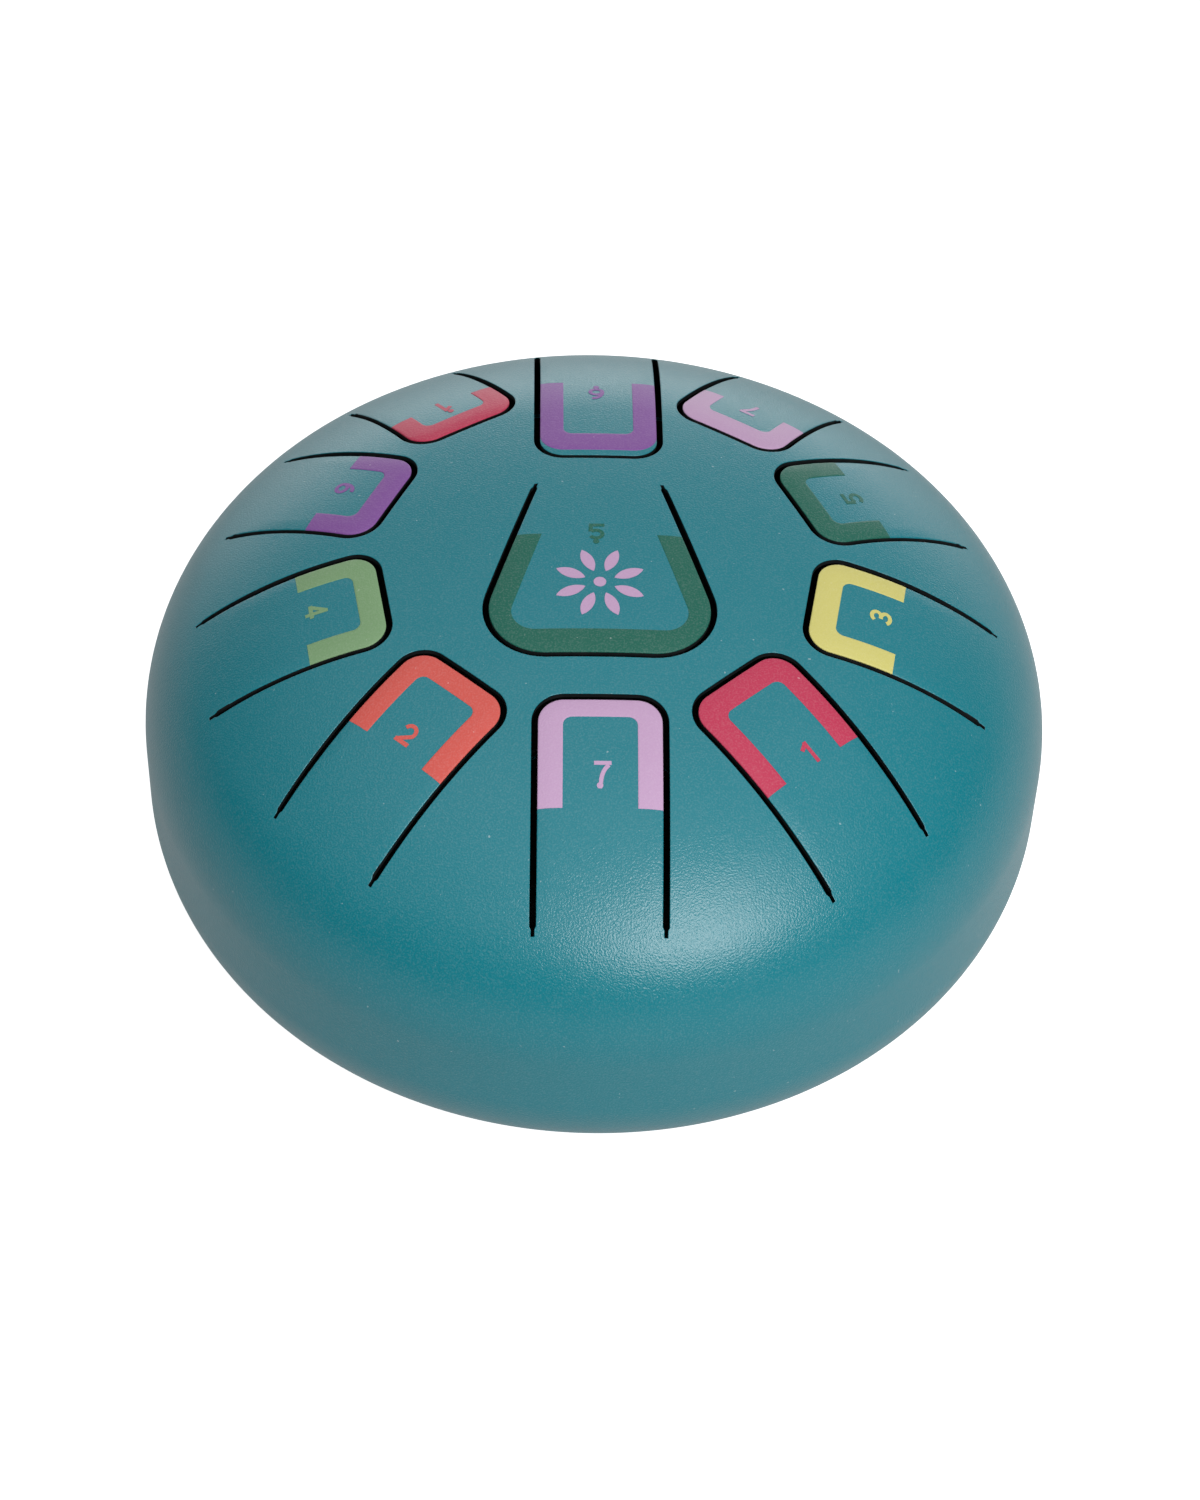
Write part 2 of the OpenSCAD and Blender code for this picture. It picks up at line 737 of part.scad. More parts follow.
module foot_screws() {
    shank_l = foot_web + washer_t + sheet_t + nut_h + screw_proud;
    color("silver")
        at_feet()
            translate([0, 0, washer_z])
                difference() {
                    union() {
                        translate([0, 0, -head_h]) cylinder(h = head_h, d = head_d);
                        translate([0, 0, -head_h / 2])
                            cylinder(h = shank_l + head_h / 2, d = screw_d);
                    }
                    for (turn = [0, quarter_turn])
                        rotate([0, 0, turn])
                            translate([-drive_l / 2, -drive_w / 2, -head_h - overrun])
                                cube([drive_l, drive_w, drive_depth + overrun]);
                }
}

module foot_nuts() {
    color("silver")
        at_feet()
            translate([0, 0, nut_z])
                difference() {
                    cylinder(h = nut_h, d = nut_flats / cos(half_turn / 6), $fn = 6);
                    translate([0, 0, -overrun])
                        cylinder(h = nut_h + 2 * overrun, d = screw_d + thread_clearance);
                }
}

upper_shell();
lower_shell();
seam_weld();
for (i = [0:len(NOTES) - 1]) {
    tongue(TONGUES[i]);
    band(TONGUES[i]);
    numeral(TONGUES[i]);
}
centre_rosette();
for (i = [0:len(FEET) - 1])
    rubber_foot(i);
foot_washers();
foot_screws();
foot_nuts();
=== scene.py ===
# %% [markdown]
# A steel tongue drum is two bowls of pressed sheet, welded rim to rim and powder coated. Slots cut
# through the upper bowl leave eleven tongues that ring when they are struck. The packed model holds
# each piece at its real size and place, and this script dresses the pieces around it.
# Every length here is in metres, so a size on the drum is written as millimetres times mm.

# %% Load the packed model
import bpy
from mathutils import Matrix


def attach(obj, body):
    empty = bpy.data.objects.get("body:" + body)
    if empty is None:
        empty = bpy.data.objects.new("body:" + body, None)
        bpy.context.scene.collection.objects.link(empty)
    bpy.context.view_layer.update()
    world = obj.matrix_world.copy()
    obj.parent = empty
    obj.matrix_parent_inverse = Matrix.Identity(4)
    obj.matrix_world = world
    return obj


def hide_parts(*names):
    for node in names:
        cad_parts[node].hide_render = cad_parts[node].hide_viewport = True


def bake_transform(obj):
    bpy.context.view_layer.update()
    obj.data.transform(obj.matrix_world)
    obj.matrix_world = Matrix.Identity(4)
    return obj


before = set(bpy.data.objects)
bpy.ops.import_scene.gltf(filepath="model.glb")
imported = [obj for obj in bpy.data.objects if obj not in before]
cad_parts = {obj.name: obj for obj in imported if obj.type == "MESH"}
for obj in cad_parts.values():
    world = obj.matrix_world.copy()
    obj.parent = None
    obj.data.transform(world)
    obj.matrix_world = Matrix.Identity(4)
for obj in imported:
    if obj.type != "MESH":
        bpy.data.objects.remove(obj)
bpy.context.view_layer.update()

# %% Libraries and units
from math import asin, cos, pi, radians, sin, tan

import bmesh
import bpy
import numpy as np
from mathutils import Matrix, Vector
from mathutils.geometry import delaunay_2d_cdt

mm = 0.001
same_spot = 0.001 * mm
tiny = 1e-9
print("one millimetre is", mm, "in Blender's metres")

# %% [markdown]
# The upper bowl's section is three arcs, each starting at the slope where the last one ends: a
# shallow crown, a steeper slope and a tight shoulder that turns down into the upright side. Two more
# arcs round the base. The same few sizes drive every piece below, so they come first.

# %% Sizes of the drum's body
drum_r = 125 * mm
sheet_t = 1.5 * mm
crown_edge = 64.5 * mm
crown_tilt = radians(10.8)
shoulder_w = 16.3 * mm
shoulder_tilt = radians(39)
side_h = 17.7 * mm
corner_w = 24.4 * mm
base_tilt = radians(14)
base_flat = 74 * mm
foot_h = 9 * mm

shoulder_start = drum_r - shoulder_w
corner_start = drum_r - corner_w
crown_r = crown_edge / sin(crown_tilt)
slope_r = (shoulder_start - crown_edge) / (sin(shoulder_tilt) - sin(crown_tilt))
shoulder_r = (drum_r - shoulder_start) / (1 - sin(shoulder_tilt))
corner_r = (drum_r - corner_start) / (1 - sin(base_tilt))
base_r = (corner_start - base_flat) / sin(base_tilt)

corner_z = foot_h + base_r - (base_r - corner_r) * cos(base_tilt)
side_top_z = corner_z + side_h
seam_z = corner_z + side_h / 2
slope_centre_z = side_top_z - (slope_r - shoulder_r) * cos(shoulder_tilt)
crown_centre_z = slope_centre_z - (crown_r - slope_r) * cos(crown_tilt)
top_z = crown_centre_z + crown_r
print(f"sheet: side to {side_top_z / mm:.2f} mm, top at {top_z / mm:.2f} mm")

# %% [markdown]
# The camera comes first among the things that are made. It looks down at about 49 degrees from 1 m
# away with a long lens, which keeps the far rim nearly as wide as the near one. The lens is worked
# out from the frame of 1200 by 1500.

# %% Camera
frame_h_px = 1500
focal_px = 3805.5
sensor_h = 24
camera_tilt = radians(48.521)
camera_roll = radians(2.046)
drum_turn = radians(1.827)
drum_in_view = Vector((-1.508, -11.191, 1065.209)) * mm


def new_object(name, data):
    """A new object in the scene, at the origin."""
    thing = bpy.data.objects.new(name, data)
    bpy.context.scene.collection.objects.link(thing)
    return thing


def place_camera():
    """Stands the camera where the drum's side top has the wanted place and turn in its view."""
    rows = Matrix((
        (1, 0, 0),
        (0, -sin(camera_tilt), -cos(camera_tilt)),
        (0, cos(camera_tilt), -sin(camera_tilt)),
    ))
    seen = Matrix.Rotation(camera_roll, 3, "Z") @ rows @ Matrix.Rotation(drum_turn, 3, "Z")
    spot = Vector((0, 0, side_top_z)) - seen.transposed() @ drum_in_view
    axes = seen.transposed() @ Matrix.Diagonal((1, -1, -1))
    data = bpy.data.cameras.new("camera")
    data.sensor_fit = "VERTICAL"
    data.sensor_height = sensor_h
    data.lens = sensor_h * focal_px / frame_h_px
    camera = new_object("camera", data)
    camera.matrix_world = Matrix.Translation(spot) @ axes.to_4x4()
    bpy.context.scene.camera = camera
    return camera


camera = place_camera()
print("camera at", [round(x, 3) for x in camera.location], "lens", round(camera.data.lens, 2))

# %% [markdown]
# Everything on top follows the sheet: a slot wall, a film or a tongue only needs to know how high
# the sheet is over a point of the plan, and which way it faces there. One rule in plain Python gives
# both. It works on whole arrays of points at once, so dense meshes stay quick.

# %% Height and direction of the upper sheet
UPPER_ARCS = [
    (0, crown_centre_z, crown_r, 0),
    (crown_edge - slope_r * sin(crown_tilt), slope_centre_z, slope_r, crown_edge),
    (drum_r - shoulder_r, side_top_z, shoulder_r, shoulder_start),
]


def upper_height(plan, depth=0.0):
    """Height of the upper sheet over points of the plan, at a depth under its outside."""
    r = np.hypot(plan[:, 0], plan[:, 1])
    height = np.zeros(len(r))
    for centre, z, arc_r, start in UPPER_ARCS:
        rise = np.sqrt(np.maximum((arc_r - depth) ** 2 - (r - centre) ** 2, 0))
        height = np.where(r >= start, z + rise, height)
    return height


def upper_facing(plan, depth=0.0):
    """Direction that the upper sheet's outside faces over points of the plan."""
    r = np.maximum(np.hypot(plan[:, 0], plan[:, 1]), tiny)
    lean = np.zeros(len(r))
    for centre, z, arc_r, start in UPPER_ARCS:
        lean = np.where(r >= start, (r - centre) / (arc_r - depth), lean)
    return np.column_stack((plan * (lean / r)[:, None], np.sqrt(1 - lean ** 2)))


def on_sheet(plan, depth=0.0):
    """Points of the plan, lifted to a depth under the outside of the upper sheet."""
    return np.column_stack((plan, upper_height(plan, depth)))


check_ring = np.array([(0.0, 0.0), (crown_edge, 0.0), (shoulder_start, 0.0)])
print("sheet height at axis, crown edge, shoulder:", (upper_height(check_ring) / mm).round(2))

# %% [markdown]
# The drum has a satin powder coat: one teal all over, with the fine orange-peel skin that powder
# leaves when it melts, and a speckle of paler grains. Where it turns away from the eye it goes pale
# by its gloss alone. It could be a picture wrapped round the drum, but noise on the object's own
# coordinates has no seams and carries straight on from the shell to the tongues, as one coat does.
# The bands and numerals are printed over the coat, so they take on its grain.

# %% Helpers for finishes
def new_finish(name, colour, plain_values):
    """A material with one Principled shader, whose plain values are set on its own sockets."""
    material = bpy.data.materials.new(name)
    material.use_nodes = True
    material.diffuse_color = (*colour, 1)
    shader = material.node_tree.nodes["Principled BSDF"]
    shader.inputs["Base Color"].default_value = (*colour, 1)
    for socket, value in plain_values.items():
        shader.inputs[socket].default_value = value
    return material, material.node_tree, shader


def noise(tree, scale, detail, low=0.0, high=1.0):
    """Noise on the object's own coordinates, stretched so that low becomes 0 and high becomes 1.

    The scale counts lumps in a metre."""
    place = tree.nodes.new("ShaderNodeTexCoord")
    cloud = tree.nodes.new("ShaderNodeTexNoise")
    cloud.inputs["Scale"].default_value = scale
    cloud.inputs["Detail"].default_value = detail
    stretch = tree.nodes.new("ShaderNodeMapRange")
    stretch.inputs["From Min"].default_value = low
    stretch.inputs["From Max"].default_value = high
    tree.links.new(place.outputs["Object"], cloud.inputs["Vector"])
    tree.links.new(cloud.outputs["Fac"], stretch.inputs["Value"])
    return stretch.outputs["Result"]


def tint(tree, base, colour, amount):
    """Mixes a colour over a base, which is a colour or a socket, by the amount in a socket."""
    mix = tree.nodes.new("ShaderNodeMix")
    mix.data_type = "RGBA"
    sockets = {socket.identifier: socket for socket in mix.inputs}
    if isinstance(base, tuple):
        sockets["A_Color"].default_value = (*base, 1)
    else:
        tree.links.new(base, sockets["A_Color"])
    sockets["B_Color"].default_value = (*colour, 1)
    tree.links.new(amount, sockets["Factor_Float"])
    return next(socket for socket in mix.outputs if socket.identifier == "Result_Color")


def bump(tree, height, depth, under=None):
    """A bump of a real depth, on top of another one if there is one under it."""
    node = tree.nodes.new("ShaderNodeBump")
    node.inputs["Distance"].default_value = depth
    tree.links.new(height, node.inputs["Height"])
    if under is not None:
        tree.links.new(under, node.inputs["Normal"])
    return node.outputs["Normal"]


def paler(colour, amount):
    """A colour moved towards white."""
    return tuple(c + (1 - c) * amount for c in colour)


print("black moved a quarter of the way to white:", paler((0, 0, 0), 0.25))

# %% The powder coat and the printed films
coat_colour = (0.0, 0.168, 0.21)
FILM_COLOURS = {
    "lilac": (0.475, 0.304, 0.478),
    "crimson": (0.45, 0.032, 0.08),
    "yellow": (0.558, 0.516, 0.158),
    "dark_green": (0.006, 0.107, 0.073),
    "purple": (0.199, 0.073, 0.29),
    "light_green": (0.173, 0.303, 0.149),
    "coral": (0.571, 0.087, 0.07),
}
coat_values = {"Roughness": 0.28, "Specular IOR Level": 0.5}
film_values = {"Roughness": 0.4, "Specular IOR Level": 0.3}
# Each pattern's scale and detail, and the levels of its noise between which it shows
PEEL = (600, 2)
GRAIN = (2000, 1)
PALE_GRAINS = (2000, 1, 0.45, 0.85)
CLOUD = (90, 3, 0.35, 1.3)
DUST = (900, 0, 0.86, 0.9)
cloud_pale = 0.012
dust_pale = 0.22
peel_depth = 0.012 * mm
coat_grain_depth = 0.12 * mm
coat_grain_pale = 0.045
film_grain_depth = 0.08 * mm
film_grain_pale = 0.055


def coated(name, colour, values, grain_depth, grain_pale):
    """Powder coat, or a film printed over it, which takes on the same grain."""
    material, tree, shader = new_finish(name, colour, values)
    skin = colour
    for pattern, pale in ((CLOUD, cloud_pale), (PALE_GRAINS, grain_pale), (DUST, dust_pale)):
        skin = tint(tree, skin, paler(colour, pale), noise(tree, *pattern))
    tree.links.new(skin, shader.inputs["Base Color"])
    facing = bump(tree, noise(tree, *PEEL), peel_depth)
    facing = bump(tree, noise(tree, *GRAIN), grain_depth, facing)
    tree.links.new(facing, shader.inputs["Normal"])
    return material


teal = coated("teal_coat", coat_colour, coat_values, coat_grain_depth, coat_grain_pale)
films = {name: coated(name + "_film", colour, film_values, film_grain_depth, film_grain_pale)
         for name, colour in FILM_COLOURS.items()}
print("grain of the coat: a lump every", round(1 / GRAIN[0] / mm, 2), "mm")
print("coat and films:", [teal.name] + [m.name for m in films.values()])

# %% [markdown]
# Powder hardly gets into a slot, so the cut edges and the inside of the sheet stay bare steel, and
# this steel is made near-black as painted shade, for the shade deep in the slots and inside the drum.
# They could be pieces of their own. It is lighter to give a piece a second finish and hand it to the
# faces that a rule picks out, by their places and directions.

# %% Bare steel, made near-black as painted shade
# Nearly black: bare steel, darkened further as painted shade for the slots and the drum's inside
bare_steel_shade_colour = (0.006, 0.008, 0.009)
steel_bloom = (0.02, 0.02, 0.02)
steel_values = {"Roughness": 0.6, "Specular IOR Level": 0.2}
BLOOM = (300, 3, 0.4, 1.2)


def bare_steel():
    """Bare steel with a faint bloom, made near-black as painted shade in the slots and inside the drum.
    """
    material, tree, shader = new_finish("bare_steel", bare_steel_shade_colour, steel_values)
    clouded = tint(tree, bare_steel_shade_colour, steel_bloom, noise(tree, *BLOOM))
    tree.links.new(clouded, shader.inputs["Base Color"])
    return material


def leave_bare_and_shaded(piece, picked):
    """Gives the near-black bare steel, partly painted shade, to the faces that a rule picks by their
    centres and directions.
    """
    faces = piece.data.polygons
    centres, facings = np.empty(len(faces) * 3), np.empty(len(faces) * 3)
    faces.foreach_get("center", centres)
    faces.foreach_get("normal", facings)
    chosen = picked(centres.reshape(-1, 3), facings.reshape(-1, 3))
    slots = np.empty(len(faces), np.int32)
    faces.foreach_get("material_index", slots)
    slots[chosen] = len(piece.data.materials)
    piece.data.materials.append(bare_and_shade)
    faces.foreach_set("material_index", slots)
    return int(chosen.sum())


bare_and_shade = bare_steel()
print("bare finish:", bare_and_shade.name)

# %% [markdown]
# The feet are moulded rubber: dull, nearly black, with the stipple of their mould and a dusty bloom.
# Their washers, screws and nuts are zinc plated, bright but stained in clouds that are both darker
# and rougher. A flat grey would do from afar. Here one noise drives the zinc's colour and its
# roughness together, as one stain does on real plate.

# %% Foot rubber
rubber_colour = (0.018, 0.018, 0.019)
rubber_bloom = (0.1, 0.1, 0.1)
rubber_values = {"Roughness": 0.72}
STIPPLE = (1500, 2)
RUBBER_DUST = (120, 3, 0.4, 1.5)
stipple_depth = 0.02 * mm


def moulded_rubber():
    """Dull black rubber with the fine stipple of its mould."""
    material, tree, shader = new_finish("foot_rubber", rubber_colour, rubber_values)
    dusty = tint(tree, rubber_colour, rubber_bloom, noise(tree, *RUBBER_DUST))
    stippled = bump(tree, noise(tree, *STIPPLE), stipple_depth)
    tree.links.new(dusty, shader.inputs["Base Color"])
    tree.links.new(stippled, shader.inputs["Normal"])
    return material


rubber = moulded_rubber()
print("rubber finish:", rubber.name)

# %% Zinc plating
zinc_colour = (0.66, 0.67, 0.69)
zinc_stain = (0.46, 0.47, 0.47)
zinc_clean_rough = 0.24
zinc_stained_rough = 0.42
STAIN = (420, 4, 0.35, 0.85)
PLATE_GRAIN = (2600, 1)
plate_grain_depth = 0.004 * mm


def zinc_plated():
    """Bright zinc plate on steel, with a faint cloudy stain."""
    material, tree, shader = new_finish("zinc_steel", zinc_colour, {"Metallic": 1})
    stain = noise(tree, *STAIN)
    rough = tree.nodes.new("ShaderNodeMapRange")
    rough.inputs["To Min"].default_value = zinc_clean_rough
    rough.inputs["To Max"].default_value = zinc_stained_rough
    tree.links.new(stain, rough.inputs["Value"])
    tree.links.new(tint(tree, zinc_colour, zinc_stain, stain), shader.inputs["Base Color"])
    tree.links.new(rough.outputs["Result"], shader.inputs["Roughness"])
    grained = bump(tree, noise(tree, *PLATE_GRAIN), plate_grain_depth)
    tree.links.new(grained, shader.inputs["Normal"])
    return material


zinc = zinc_plated()
print("zinc finish:", zinc.name)

# %% [markdown]
# The tongues are eleven pieces of one shape: a strip of the sheet with a rounded tip, cut off
# straight at the root where it bends when it is struck. The press leaves its edge rolled down a
# little. They could be cut from the shell's mesh, but a shape that follows a rule suits Geometry
# Nodes: one tree takes a box of many cells and moves each point to its place, so a change of one
# input reshapes a tongue and its roll together. Plain sums are long-winded in nodes, so a small class
# lets the rule be written as ordinary arithmetic.

# %% Arithmetic in a node tree
class Term:
    """A number in a node tree, with which ordinary sums can be written."""

    def __init__(self, tree, socket):
        self.tree = tree
        self.socket = socket

    def math(self, operation, *others):
        node = self.tree.nodes.new("ShaderNodeMath")
        node.operation = operation
        for socket, value in zip(node.inputs, (self, *others)):
            if isinstance(value, Term):
                self.tree.links.new(value.socket, socket)
            else:
                socket.default_value = value
        return Term(self.tree, node.outputs[0])

    def __add__(self, other):
        return self.math("ADD", other)

    def __sub__(self, other):
        return self.math("SUBTRACT", other)

    def __mul__(self, other):
        return self.math("MULTIPLY", other)

    def __truediv__(self, other):
        return self.math("DIVIDE", other)

    def __neg__(self):
        return self * -1

    def __rsub__(self, other):
        return -self + other

    __radd__ = __add__
    __rmul__ = __mul__

    def sqrt(self):
        return self.math("SQRT")

    def sin(self):
        return self.math("SINE")

    def cos(self):
        return self.math("COSINE")

    def size(self):
        return self.math("ABSOLUTE")

    def above(self, limit):
        return self.math("GREATER_THAN", limit)

    def at_least(self, limit):
        return self.math("MAXIMUM", limit)

    def at_most(self, limit):
        return self.math("MINIMUM", limit)

    def share(self, start, end):
        """How far the term is between two limits, from 0 to 1."""
        return ((self - start) / (end - start)).at_least(0).at_most(1)


print("besides sums, a term knows:", [name for name in vars(Term) if not name.startswith("_")])

# %% The sheet's height as a rule for nodes
def parts_of(tree, vector):
    """The x, y and z of a vector's socket, as terms."""
    split = tree.nodes.new("ShaderNodeSeparateXYZ")
    tree.links.new(vector, split.inputs["Vector"])
    return [Term(tree, output) for output in split.outputs]


def sheet_height(r, depth):
    """Height of the upper sheet at a distance from the axis, as a term."""
    height = 0
    for centre, z, arc_r, start in UPPER_ARCS:
        across = r - centre
        rise = ((arc_r - depth) * (arc_r - depth) - across * across).at_least(0).sqrt()
        height = rise + z if start == 0 else height + (rise + z - height) * r.above(start)
    return height


print("arcs of the upper sheet:", len(UPPER_ARCS))

# %% A tree with named inputs
def new_tree(name, sizes, patterns=()):
    """An empty tree with named sizes, patterns and a material, and its sizes as terms."""
    tree = bpy.data.node_groups.new(name, "GeometryNodeTree")
    for pattern in patterns:
        tree.interface.new_socket(pattern, in_out="INPUT", socket_type="NodeSocketObject")
    tree.interface.new_socket("Geometry", in_out="OUTPUT", socket_type="NodeSocketGeometry")
    for size in sizes:
        tree.interface.new_socket(size, in_out="INPUT", socket_type="NodeSocketFloat")
    tree.interface.new_socket("Material", in_out="INPUT", socket_type="NodeSocketMaterial")
    given = tree.nodes.new("NodeGroupInput")
    return tree, given, [Term(tree, given.outputs[size]) for size in sizes]


def box_of_cells(tree, cells):
    """A box one unit long each way, and its points' places along it as terms from 0 to 1."""
    box = tree.nodes.new("GeometryNodeMeshCube")
    for socket, count in zip(("Vertices X", "Vertices Y", "Vertices Z"), cells):
        box.inputs[socket].default_value = count + 1
    place = tree.nodes.new("GeometryNodeInputPosition")
    return box, [part + 0.5 for part in parts_of(tree, place.outputs["Position"])]


# %% The end of a tree, and what it grows into
def end_tree(tree, given, geometry):
    """The last nodes of every tree: real faces and a finish."""
    realize = tree.nodes.new("GeometryNodeRealizeInstances")
    dress = tree.nodes.new("GeometryNodeSetMaterial")
    result = tree.nodes.new("NodeGroupOutput")
    tree.links.new(geometry, realize.inputs["Geometry"])
    tree.links.new(realize.outputs["Geometry"], dress.inputs["Geometry"])
    tree.links.new(given.outputs["Material"], dress.inputs["Material"])
    tree.links.new(dress.outputs["Geometry"], result.inputs["Geometry"])


def finish_tree(tree, given, geometry, x, y, z, direction):
    """Moves the points to x along a direction and y across it, and ends the tree."""
    place = tree.nodes.new("ShaderNodeCombineXYZ")
    turned_x = x * direction.cos() - y * direction.sin()
    turned_y = x * direction.sin() + y * direction.cos()
    for socket, term in zip(place.inputs, (turned_x, turned_y, z)):
        tree.links.new(term.socket, socket)
    move = tree.nodes.new("GeometryNodeSetPosition")
    tree.links.new(geometry, move.inputs["Geometry"])
    tree.links.new(place.outputs["Vector"], move.inputs["Position"])
    end_tree(tree, given, move.outputs["Geometry"])


def keep_result(piece):
    """Makes what a piece's modifiers give into its own plain mesh."""
    evaluated = piece.evaluated_get(bpy.context.evaluated_depsgraph_get())
    mesh = bpy.data.meshes.new_from_object(evaluated)
    piece.modifiers.clear()
    piece.data = mesh
    mesh.name = piece.name


def grown(name, tree, inputs):
    """The plain mesh that a tree makes from its inputs, as an object at the origin."""
    piece = new_object(name, bpy.data.meshes.new(name))
    modifier = piece.modifiers.new(tree.name, "NODES")
    modifier.node_group = tree
    for socket in tree.interface.items_tree:
        if socket.name in inputs:
            modifier[socket.identifier] = inputs[socket.name]
    keep_result(piece)
    piece.data.shade_smooth()
    return piece


# %% [markdown]
# Each tongue is named by its note. The place of its tip, the length of its coloured band and the
# place of its numeral are its own, and the rest is shared. The root is where the slots stop being
# full width: behind it the sheet runs on into the shell.

# %% Sizes of the tongues
slot_w = 1.7 * mm
tail_l = 2.1 * mm
tail_w = 0.9 * mm
root_back = 1 * mm
root_gap = 0.05 * mm
rim_half_w = 32.4 / 2 * mm
rim_corner_r = 6.7 * mm
edge_r = 0.18 * mm
roll_depth = 0.3 * mm
roll_w = 3.5 * mm
front_end = drum_r - 16.9 * mm
longest_end = drum_r - 14.5 * mm
back_end = drum_r - 18.6 * mm


class Tongue:
    """One tongue, in its own plan: x runs from the axis towards its root, and y across it."""

    def __init__(self, note, angle, tip, slot_end, band, numeral, digit, octave, colour):
        self.note = note
        self.direction = radians(angle - 90)
        self.tip = tip * mm
        self.slot_end = slot_end
        self.half_w = rim_half_w
        self.corner_r = rim_corner_r
        self.taper = 0.0
        self.band_tip_w = band[0] * mm
        self.band_end = self.tip + band[1] * mm
        self.band_in = 0.0
        self.band_corner_r = 2.4 * mm
        self.numeral_at = (self.tip + numeral[0] * mm, numeral[1] * mm)
        self.digit = digit
        self.octave = octave
        self.colour = colour

    @property
    def root(self):
        return self.slot_end - tail_l - root_back + root_gap

    @property
    def body(self):
        return "tongue_" + self.note

    def side(self, x, grow=0.0):
        """Half of the tongue's width at a place along it, grown by a distance."""
        reach = self.corner_r + grow
        past_corner = x - self.tip - self.corner_r - reach * sin(self.taper)
        return self.half_w - self.corner_r + reach * cos(self.taper) - past_corner * tan(self.taper)

    def to_drum(self, plan):
        """Points of the tongue's own plan, turned into the drum's plan."""
        c, s = cos(self.direction), sin(self.direction)
        return plan @ np.array(((c, s), (-s, c)))

    def point(self, x, y=0.0):
        """A point on the drum's surface, given in the tongue's own plan."""
        return on_sheet(self.to_drum(np.array([(x, y)])))[0]


print(f"a slot is {slot_w / mm:.1f} mm wide, and its tail {tail_w / mm:.1f} mm")

# %% Places and colours of the notes
# After the slot ends: the band's width at the tip and the length of its arms, then how far the
# numeral stands from the tip and to the left of the tongue's middle, all in millimetres
centre = Tongue("low_5", 180, -32.6, 30 * mm, (7.5, 41.9), (42.7, 0.9), 5, -1, "dark_green")
centre.half_w = 59 / 2 * mm
centre.corner_r = 15.4 * mm
centre.taper = radians(16.4)
centre.band_corner_r = 6.5 * mm
low_6 = Tongue("low_6", 180, 42.7, front_end, (7.5, 36.6), (29.8, 0.4), 6, -1, "purple")
low_6.band_in = 2 * mm
TONGUES = [
    centre,
    low_6,
    Tongue("low_7", 0, 47.9, front_end, (5.5, 31.5), (21.8, 0.6), 7, -1, "lilac"),
    Tongue("1", 41.6, 52.6, longest_end, (7.1, 31), (28, 1.2), 1, 0, "crimson"),
    Tongue("2", -41.6, 53.2, front_end, (6.2, 27.2), (22, 0), 2, 0, "coral"),
    Tongue("3", 80.2, 58.2, front_end, (7, 23.6), (18.3, 1.1), 3, 0, "yellow"),
    Tongue("4", -80.2, 59.2, front_end, (6.6, 21.3), (17.4, -1), 4, 0, "light_green"),
    Tongue("5", 115.8, 61, back_end, (6.4, 20.1), (16.9, -0.5), 5, 0, "dark_green"),
    Tongue("6", -115.8, 62.6, back_end, (6.8, 18.6), (15.4, -1.1), 6, 0, "purple"),
    Tongue("7", 148.2, 66.6, back_end, (7.3, 17.3), (15.9, 0), 7, 0, "lilac"),
    Tongue("high_1", -148.2, 68.6, back_end, (6.6, 15.2), (13.6, 0), 1, 1, "crimson"),
]
print("tongue lengths in mm:", {t.note: round((t.root - t.tip) / mm, 1) for t in TONGUES})

# %% [markdown]
# A slab of sheet could be thickened by a Solidify modifier and its rim rounded by a Bevel. The tree
# does both by rule instead: the layers of the box turn through a quarter circle at the cut edge, and
# the roll sinks towards the rim and fades out before the root, so that the tongue meets the shell
# without a step. Cells crowd towards the edges, where the form bends most.

# %% Tree of a tongue
tongue_cells = (60, 44, 3)
corner_cells = 14
SHAPE_INPUTS = ["Tip", "Root", "Half width", "Corner radius", "Taper", "Direction"]
ROLL_INPUTS = ["Roll depth", "Roll width", "Edge radius"]
roll_fade = 14 * mm
crowding = 0.6


def crowded(term):
    """Moves places from -1 to 1 closer together near both ends."""
    return term * (1 - crowding) + (term * (pi / 2)).sin() * crowding


def rolled_by(x, y, shape, roll):
    """How far the pressed edge of a tongue is rolled down at a point of its plan."""
    tip, root, half_w, corner, taper = shape
    depth, width = roll
    beyond_x = x - tip - corner
    beyond_y = y.size() - half_w + corner
    sideways = beyond_y * taper.cos() + beyond_x * taper.sin()
    in_corner = beyond_y.above(0) * (beyond_y * taper.sin() - beyond_x * taper.cos()).above(0)
    slant = (beyond_x * beyond_x + beyond_y * beyond_y).sqrt() * in_corner
    from_edge = corner - (-beyond_x).at_least(sideways).at_least(slant)
    closeness = (1 - from_edge / width).at_least(0)
    return closeness * (closeness + 1) * (depth / 2) * (root - x).share(0, roll_fade)


